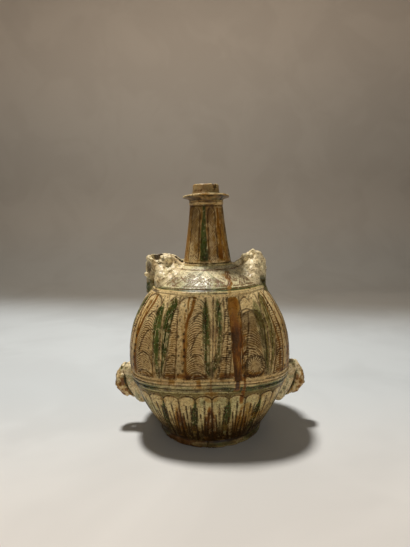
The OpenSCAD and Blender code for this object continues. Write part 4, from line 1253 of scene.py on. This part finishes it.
def paint_side(sign, drop):
    """Colours of a side lug: cream above and on the pad, the top paler still as a painted highlight, rust in streaks on
    the outer lobe, green by the crease and painted shade in it.
    """
    def extra(points, values, rough):
        q = points * np.array([sign, 1, 1]) + np.array([0, 0, drop])
        away = beside_crease(q)
        outer = ease(away, 0.5, 2.5)
        top = ease(q[:, 2], 72, 80)
        streak = ease(lumpy(points * np.array([1.0, 1.0, 0.5]), 3.4, 311) + 0.5 * rough, -0.25, 0.45)
        # The top is paler: a painted highlight
        values["pale"] = np.clip(0.45 + 0.5 * top + 0.35 * (1 - outer) + 0.4 * rough, 0, 1) * (1 - 0.5 * outer * streak)
        values["amber"] = outer * (1 - top) * (0.10 + 0.72 * streak) + 0.12 * top * streak
        values["green"] = np.clip(0.55 * (1 - outer) * ease(rough, -0.1, 0.5) + 0.5 * ease(np.abs(away - 1), 4, 1) * ease(rough, -0.4, 0.3), 0, 1)
        # Painted shade in the crease
        groove_at = ease(np.abs(away), 1.9, 0.7) * ease(q[:, 2], 42, 47) * ease(q[:, 2], 79, 74) * ease(q[:, 1], -2, -7)
        rim = 0.7 * ease(q[:, 0] + 0.3 * rough, 126.5, 129.5) * (1 - top)
        values["dark"] = np.maximum(np.maximum(values["dark"], 0.95 * groove_at), rim)
    return extra


def stain_feet(points, values, rough):
    """Green stains round the foot of a shoulder lug, darker low on its outer side, and paler higher up."""
    low = ease(points[:, 2], 212, 202)
    outside = ease(np.abs(points[:, 0]), 66, 72)
    values["green"] = np.maximum(values["green"], 0.95 * low * outside * ease(rough, -0.5, 0.1))
    values["dark"] = np.maximum(values["dark"], 0.50 * outside * ease(points[:, 2], 226, 214) * ease(rough, 0.2, -0.3))
    values["pale"] = np.clip(values["pale"] + 0.2 + 0.2 * ease(points[:, 2], 206, 222), 0, 1) * (1 - 0.4 * outside * low)


# Glazes

class Recipe:
    """A glaze's nodes, added one after the other to one Principled shader."""

    def __init__(self, name):
        self.material = bpy.data.materials.new(name)
        self.material.use_nodes = True
        self.nodes = self.material.node_tree.nodes
        self.links = self.material.node_tree.links
        self.shader = self.nodes["Principled BSDF"]
        self.place = self.nodes.new("ShaderNodeTexCoord").outputs["Object"]

    def add(self, kind, inputs, **settings):
        """One node with its settings, and its inputs as sockets or constants."""
        node = self.nodes.new(kind)
        for key, value in settings.items():
            setattr(node, key, value)
        for key, value in inputs.items():
            if isinstance(value, bpy.types.NodeSocket):
                self.links.new(value, node.inputs[key])
            else:
                node.inputs[key].default_value = value
        return node

    def field(self, name):
        """A field that the mesh keeps with its points."""
        return self.add("ShaderNodeAttribute", {}, attribute_name=name).outputs["Fac"]

    def sum(self, kind, *values, clamp=False):
        """One step of arithmetic."""
        inputs = {i: value for i, value in enumerate(values)}
        return self.add("ShaderNodeMath", inputs, operation=kind, use_clamp=clamp).outputs[0]

    def noise(self, size, detail=4.0, rough=0.55, twist=0.0, squeeze=(1, 1, 1), shift=(0, 0, 0)):
        """Fractal noise with features of about that size in millimetres."""
        spot = self.add("ShaderNodeMapping", {"Vector": self.place, "Scale": squeeze, "Location": shift}).outputs[0]
        return self.add("ShaderNodeTexNoise", {"Vector": spot, "Scale": 1000.0 / size, "Detail": detail,
                                               "Roughness": rough, "Distortion": twist}).outputs["Fac"]

    def cells(self, size, feature="DISTANCE_TO_EDGE"):
        """Distance to the edges of random cells of that size."""
        return self.add("ShaderNodeTexVoronoi", {"Vector": self.place, "Scale": 1000.0 / size},
                        feature=feature).outputs["Distance"]

    def span(self, value, low, high, to_low=0.0, to_high=1.0):
        """Maps a value smoothly from one range to another."""
        inputs = {"Value": value, "From Min": low, "From Max": high, "To Min": to_low, "To Max": to_high}
        return self.add("ShaderNodeMapRange", inputs, interpolation_type="SMOOTHSTEP").outputs["Result"]

    def mix(self, share, first, second, kind="MIX"):
        """Mixes two colours."""
        node = self.nodes.new("ShaderNodeMix")
        node.data_type = "RGBA"
        node.blend_type = kind
        for socket, value in ((node.inputs[0], share), (node.inputs[6], first), (node.inputs[7], second)):
            if isinstance(value, bpy.types.NodeSocket):
                self.links.new(value, socket)
            else:
                socket.default_value = value
        return node.outputs[2]

    def plug(self, name, value):
        """Links or sets one of the shader's sockets."""
        socket = self.shader.inputs[name]
        if isinstance(value, bpy.types.NodeSocket):
            self.links.new(value, socket)
        else:
            socket.default_value = value


def tone(red, green, blue):
    """A colour written as it shows, from 0 to 255, turned into scene light."""
    channel = np.array([red, green, blue]) / 255
    linear = np.where(channel <= 0.04045, channel / 12.92, ((channel + 0.055) / 1.055) ** 2.4)
    return (*[float(c) for c in linear], 1.0)


CREAM, SLIP, TAN = tone(232, 214, 156), tone(202, 163, 97), tone(168, 128, 68)
HONEY, ROSE = tone(246, 219, 160), tone(168, 120, 82)
CLAY, CUT = tone(98, 60, 14), tone(40, 23, 0)
LEAF, LEAF_DEEP, LEAF_PALE = tone(86, 100, 46), tone(44, 58, 20), tone(128, 144, 86)
MINT, CHALK, UMBER = tone(132, 156, 100), tone(253, 235, 190), tone(122, 84, 42)
OCHRE, AMBER, BROWN = tone(166, 120, 46), tone(126, 68, 0), tone(62, 30, 0)
OLIVE = tone(144, 128, 86)


def slipware(name, body, stain, gloss, light=CREAM, stain_share=0.5, ink=0.9, worn=0.0, shine=0.2, mark=CUT,
             halo=0.6):
    """Incised slip under lead glaze.

    The body colour is mottled, then the combed and incised lines show the dark clay, copper green and iron
    amber lie over both, and fine crazing and pits break the gloss.
    """
    r = Recipe(name)
    cloud = r.noise(26.0, 5.0, 0.6, 0.4)
    grain = r.noise(3.4, 6.0, 0.62)
    colour = r.mix(r.span(cloud, 0.40, 0.62, 0.0, stain_share), body, stain)
    blush = r.noise(13.0, 4.0, 0.6, 0.8, shift=(0.3, 0.1, 0.2))
    colour = r.mix(r.span(blush, 0.52, 0.70, 0.0, 0.45), colour, ROSE)
    colour = r.mix(r.span(grain, 0.50, 0.72, 0.0, 0.45), colour, CLAY)
    colour = r.mix(r.sum("MULTIPLY", r.field("pale"), r.span(grain, 0.30, 0.66, 0.95, 0.45)), colour, light)

    wave = r.sum("COSINE", r.sum("MULTIPLY", r.sum("ADD", r.field("comb"), r.span(r.noise(9.0, 3.0), 0.3, 0.7, -0.22, 0.22)),
                                 2 * math.pi))
    tooth = r.span(wave, 0.0, 0.75)
    tooth = r.sum("MULTIPLY", tooth, r.span(r.noise(6.0, 3.0, 0.6, shift=(0.7, 0.4, 0.9)), 0.34, 0.52, 0.40, 1.0))
    combed = r.sum("MULTIPLY", tooth, r.field("combed"), clamp=True)
    colour = r.mix(r.sum("MULTIPLY", combed, 0.70), colour, CLAY)
    # Paler comb crests: the glaze runs thin on them, and partly a painted highlight
    crest = r.sum("MULTIPLY", r.span(wave, -0.1, -0.8, 0.0, 0.55), r.field("combed"), clamp=True)
    colour = r.mix(crest, colour, light)

    green = r.field("green")
    streak = r.noise(11.0, 5.0, 0.65, 0.5, squeeze=(1, 1, 0.35))
    wash = r.sum("MULTIPLY", green, r.span(streak, 0.26, 0.55, 0.72, 1.05), clamp=True)
    leaf = r.mix(r.span(streak, 0.38, 0.66), LEAF, LEAF_DEEP)
    leaf = r.mix(r.span(grain, 0.55, 0.75, 0.0, 0.5), leaf, LEAF_PALE)
    leaf = r.mix(r.span(green, 0.20, 0.70), MINT, leaf)
    colour = r.mix(wash, colour, leaf)

    amber = r.field("amber")
    run = r.noise(12.0, 5.0, 0.6, 0.6, squeeze=(1, 1, 0.3), shift=(0.5, 0.8, 0.1))
    pool = r.sum("MULTIPLY", amber, r.span(run, 0.25, 0.60, 0.55, 1.15))
    iron = r.mix(r.span(pool, 0.45, 0.95), OCHRE, AMBER)
    iron = r.mix(r.span(pool, 0.80, 1.25), iron, BROWN)
    colour = r.mix(r.span(pool, 0.06, 0.55, 0.0, 0.94), colour, iron)
    colour = r.mix(r.sum("MULTIPLY", combed, 0.50), colour, CUT)

    shake = r.span(grain, 0.3, 0.7, -0.40, 0.40)
    line = r.span(r.sum("ADD", r.field("line"), shake), 1.15, 0.35, 0.0, ink)
    line = r.sum("MULTIPLY", line, r.span(r.noise(7.0, 4.0, 0.6, shift=(0.2, 0.9, 0.4)), 0.34, 0.56, 0.35, 1.0))
    # Brown beside the lines: glaze pooled in the grooves, and partly painted shade along them. Paler just outside it:
    # thin glaze on the ridges, and partly a painted highlight
    beside = r.noise(15.0, 4.0, 0.6, 0.8, shift=(0.8, 0.5, 0.1))
    pooled = r.sum("MULTIPLY", r.span(r.field("line"), 3.2, 1.0), r.span(beside, 0.46, 0.62, 0.0, halo))
    pooled = r.sum("MULTIPLY", pooled, r.span(green, 0.15, 0.70, 1.0, 0.15))
    colour = r.mix(pooled, colour, BROWN)
    ridge = r.sum("MULTIPLY", r.span(r.field("line"), 1.1, 1.6), r.span(r.field("line"), 3.0, 1.8))
    colour = r.mix(r.sum("MULTIPLY", ridge, r.span(beside, 0.38, 0.52, 0.60, 0.0)), colour, light)
    colour = r.mix(line, colour, mark)
    spatter = r.span(r.noise(2.8, 3.0, 0.75, shift=(0.1, 0.3, 0.8)), 0.53, 0.61, 0.0, 0.66)
    colour = r.mix(spatter, colour, CLAY)
    flake = r.span(r.noise(2.6, 3.0, 0.6, shift=(0.6, 0.2, 0.5)), 0.59, 0.68, 0.0, 0.50)
    colour = r.mix(r.sum("MULTIPLY", flake, r.span(pool, 0.3, 0.8, 1.0, 0.15)), colour, light)
    # The dark field turns the colour towards CUT: real spots, runs and stains, and in places painted shade in hollows,
    # pits, creases, under the waist band and towards the foot
    stain_and_painted_shade = r.sum("MULTIPLY", r.field("dark"), r.span(grain, 0.30, 0.65, 0.70, 1.0), clamp=True)
    colour = r.mix(stain_and_painted_shade, colour, CUT)
    crazing = r.span(r.cells(2.6), 0.035, 0.005, 0.0, 0.22)
    colour = r.mix(crazing, colour, CLAY)
    speck = r.span(r.noise(2.0, 2.0, 0.5, shift=(0.9, 0.2, 0.6)), 0.70, 0.76, 0.0, 0.75)
    colour = r.mix(speck, colour, CUT)
    if worn:
        bare = r.span(r.noise(8.0, 6.0, 0.7, shift=(0.4, 0.4, 0.7)), 0.50, 0.60, 0.0, worn)
        colour = r.mix(bare, colour, TAN)
    r.plug("Base Color", colour)
    r.plug("Roughness", r.span(r.noise(9.0, 5.0, 0.6, shift=(0.1, 0.6, 0.3)), 0.3, 0.7, gloss - 0.10, gloss + 0.16))
    r.plug("Specular IOR Level", shine)
    height = r.sum("MULTIPLY_ADD", combed, -0.00034, r.sum("MULTIPLY", grain, 0.00034))
    height = r.sum("MULTIPLY_ADD", line, -0.00030, height)
    bump = r.add("ShaderNodeBump", {"Height": height, "Distance": 1.0, "Strength": 0.8})
    r.plug("Normal", bump.outputs["Normal"])
    return r.material


# The flask

belly_glaze = slipware("belly_slipware", SLIP, TAN, 0.34, HONEY, 0.75, ink=0.80, shine=0.11)
petal_glaze = slipware("petal_slipware", SLIP, TAN, 0.34, CREAM, 0.6, ink=0.92, shine=0.14, halo=0.22)
band_glaze = slipware("band_glaze", SLIP, OLIVE, 0.30, HONEY, 0.7, ink=0.7, shine=0.35)
shoulder_glaze = slipware("shoulder_slipware", CREAM, SLIP, 0.34, CHALK, 0.25, ink=0.85, shine=0.38, mark=UMBER)
neck_glaze = slipware("neck_glaze", TAN, SLIP, 0.34, HONEY, 0.6)
mouth_glaze = slipware("mouth_glaze", tone(160, 132, 88), OLIVE, 0.45, HONEY, 0.7, worn=0.4)
foot_glaze = slipware("foot_glaze", CLAY, BROWN, 0.40, tone(176, 154, 104), 0.8, worn=0.12)
lug_slip = slipware("shoulder_lug_slip", CREAM, tone(214, 172, 116), 0.42, CHALK, 0.6, worn=0.20, shine=0.45)
ear_glaze = slipware("side_lug_glaze", SLIP, CREAM, 0.38, CHALK, 0.6, worn=0.25, shine=0.35)

finish_piece(make_upper_belly(), "upper_belly", belly_glaze)
lower_belly, belly_floor = make_lower_belly()
finish_piece(lower_belly, "lower_belly", petal_glaze)
finish_piece(belly_floor, "lower_belly", petal_glaze)
finish_piece(make_waist_band(), "waist_band", band_glaze)
finish_piece(make_cordon(), "shoulder_cordon", band_glaze)
finish_piece(make_dome(), "shoulder_dome", shoulder_glaze)
finish_piece(make_neck(), "neck", neck_glaze)
finish_piece(make_neck_ring(), "neck_ring", neck_glaze)
finish_piece(make_flange(), "mouth_flange", mouth_glaze)
finish_piece(make_collar(), "mouth_collar", mouth_glaze)
finish_piece(make_foot(), "foot_ring", foot_glaze)

# The right stump takes a far higher pale share than the left one: painted light that makes up for the shade the right
# stump stands in under the key from the left
finish_piece(sculpt("shoulder_lug_left_sculpted", left_shoulder_lug, LEFT_HOLES, (-92, -40, 188), (-24, 18, 248), 0.66,
                    (0.45, 0.25, 0.25), 201, 7.0, (-74, 0, 4.0), stain_feet), "shoulder_lug_left", lug_slip)
finish_piece(sculpt("shoulder_mask_left_sculpted", left_shoulder_mask, LEFT_PITS + LEFT_HOLES[:2], (-76, -26, 206), (-42, 6, 246), 0.55,
                    (0.9, 0.1, 0.15), 211), "shoulder_mask_left", lug_slip)
finish_piece(sculpt("shoulder_lug_right_sculpted", right_shoulder_lug, RIGHT_HOLES, (24, -40, 188), (88, 18, 252), 0.66,
                    (1.0, 0.10, 0.10), 221, 7.0, (70, 0, 4.0), stain_feet), "shoulder_lug_right", lug_slip)
finish_piece(sculpt("shoulder_mask_right_sculpted", right_shoulder_mask, RIGHT_PITS + RIGHT_HOLES[:1], (42, -26, 206), (80, 6, 248), 0.55,
                    (1.0, 0.1, 0.08), 231), "shoulder_mask_right", lug_slip)
finish_piece(sculpt("side_lug_left_sculpted", side_lug(-1, 0.0, 0.4), (), (-133, -24, 32), (-76, 20, 100), 0.66,
                    (0.6, 0.4, 0.4), 241, 4.0, (-113, 0, 3.7), paint_side(-1, 0.0)), "side_lug_left", ear_glaze)
finish_piece(sculpt("side_mask_left_sculpted", side_boss(-1, 0.0, (10.2, 11.5, 14.5)), (), (-133, -18, 44), (-104, 16, 88), 0.6,
                    (0.3, 0.2, 0.8), 251, 0.0, None, paint_side(-1, 0.0)), "side_mask_left", ear_glaze)
finish_piece(sculpt("side_lug_right_sculpted", side_lug(1, 1.5, 1.0), (), (76, -24, 30), (133, 20, 98), 0.66,
                    (0.6, 0.4, 0.5), 261, 4.0, (113, 0, 3.7), paint_side(1, 1.5)), "side_lug_right", ear_glaze)
finish_piece(sculpt("side_mask_right_sculpted", side_boss(1, 1.5, (10.0, 11.5, 14.0)), (), (104, -18, 44), (133, 16, 88), 0.6,
                    (0.3, 0.2, 0.8), 271, 0.0, None, paint_side(1, 1.5)), "side_mask_right", ear_glaze)


# Floor, backdrop, light and camera

def make_sweep():
    """Floor and backdrop in one sheet: flat, then a quarter turn, then upright."""
    turn = np.linspace(0, math.pi / 2, 17)
    bend, back, rise, half = 0.5, 1.1, 2.4, 3.0
    line = [(-2.5, 0.0)] + [(back + bend * math.sin(t), bend * (1 - math.cos(t))) for t in turn] + [(back + bend, rise)]
    points = [(x, y, z) for y, z in line for x in (-half, half)]
    faces = [(2 * i, 2 * i + 1, 2 * i + 3, 2 * i + 2) for i in range(len(line) - 1)]
    mesh = bpy.data.meshes.new("sweep")
    mesh.from_pydata(points, [], faces)
    sheet = bpy.data.objects.new("sweep", mesh)
    bpy.context.collection.objects.link(sheet)
    for polygon in mesh.polygons:
        polygon.use_smooth = True
    r = Recipe("sweep")
    spot = r.add("ShaderNodeSeparateXYZ", {"Vector": r.place}).outputs
    colour = r.mix(r.span(spot["Y"], -0.34, 0.16), tone(233, 226, 217), tone(215, 219, 219))
    # The floor turns to the backdrop's grey tan towards the back, sooner on the right: the backdrop's own colour, and
    # partly painted fall-off of the light
    slope = r.sum("MULTIPLY_ADD", spot["X"], 0.30, spot["Y"])
    colour = r.mix(r.span(slope, 0.46, 1.02), colour, tone(150, 144, 134))
    colour = r.mix(r.span(spot["Z"], 0.05, 0.35), colour, tone(158, 148, 135))
    colour = r.mix(r.span(spot["Z"], 0.6, 1.4), colour, tone(168, 153, 136))
    colour = r.mix(r.span(r.noise(240.0, 3.0, 0.55, 0.6), 0.40, 0.62, 0.0, 0.07), colour, tone(80, 70, 60))
    r.plug("Base Color", colour)
    r.plug("Roughness", 0.95)
    r.plug("Specular IOR Level", 0.1)
    mesh.materials.append(r.material)


def add_area(name, place, aim, size, power, colour, height=None):
    """A soft lamp at a place, aimed at a point."""
    data = bpy.data.lights.new(name, "AREA")
    data.shape, data.size, data.energy, data.color = "ELLIPSE", size, power, colour
    data.size_y = height or size
    lamp = bpy.data.objects.new(name, data)
    lamp.location = place
    direction = np.array(aim) - np.array(place)
    flat = math.hypot(direction[0], direction[1])
    lamp.rotation_euler = Euler((math.atan2(flat, -direction[2]), 0, math.atan2(direction[0], -direction[1]) + math.pi))
    bpy.context.collection.objects.link(lamp)
    return lamp


make_sweep()
add_area("key", (-0.29, 0.20, 1.75), (0, 0, 0.1), 0.22, 28.0, (1.0, 0.975, 0.94))
add_area("front", (0.40, -1.4, 0.27), (0, 0, 0.17), 0.9, 3.9, (1.0, 0.97, 0.91))
add_area("wall", (-0.05, 0.70, 1.60), (0.0, 1.6, 1.35), 4.6, 8.1, (1.0, 0.97, 0.94), 0.4)
world = bpy.data.worlds.new("room")
world.use_nodes = True
world.node_tree.nodes["Background"].inputs["Color"].default_value = (1.0, 0.94, 0.86, 1)
world.node_tree.nodes["Background"].inputs["Strength"].default_value = 0.07
bpy.context.scene.world = world

camera_data = bpy.data.cameras.new("camera")
camera_data.sensor_fit = "VERTICAL"
camera_data.sensor_height = 36.0
camera_data.lens = 36.0 * 411.0 / 547.0
camera = bpy.data.objects.new("camera", camera_data)
camera.location = (-0.0036, -0.5518, 0.2765)
camera.rotation_mode = "XYZ"
tilt = Euler((math.radians(90 - 6.7), 0, 0)).to_matrix()
roll = Euler((0, 0, math.radians(-1.26))).to_matrix()
camera.rotation_euler = (tilt @ roll).to_euler()
bpy.context.collection.objects.link(camera)
bpy.context.scene.camera = camera
bpy.context.scene.view_settings.view_transform = "Standard"
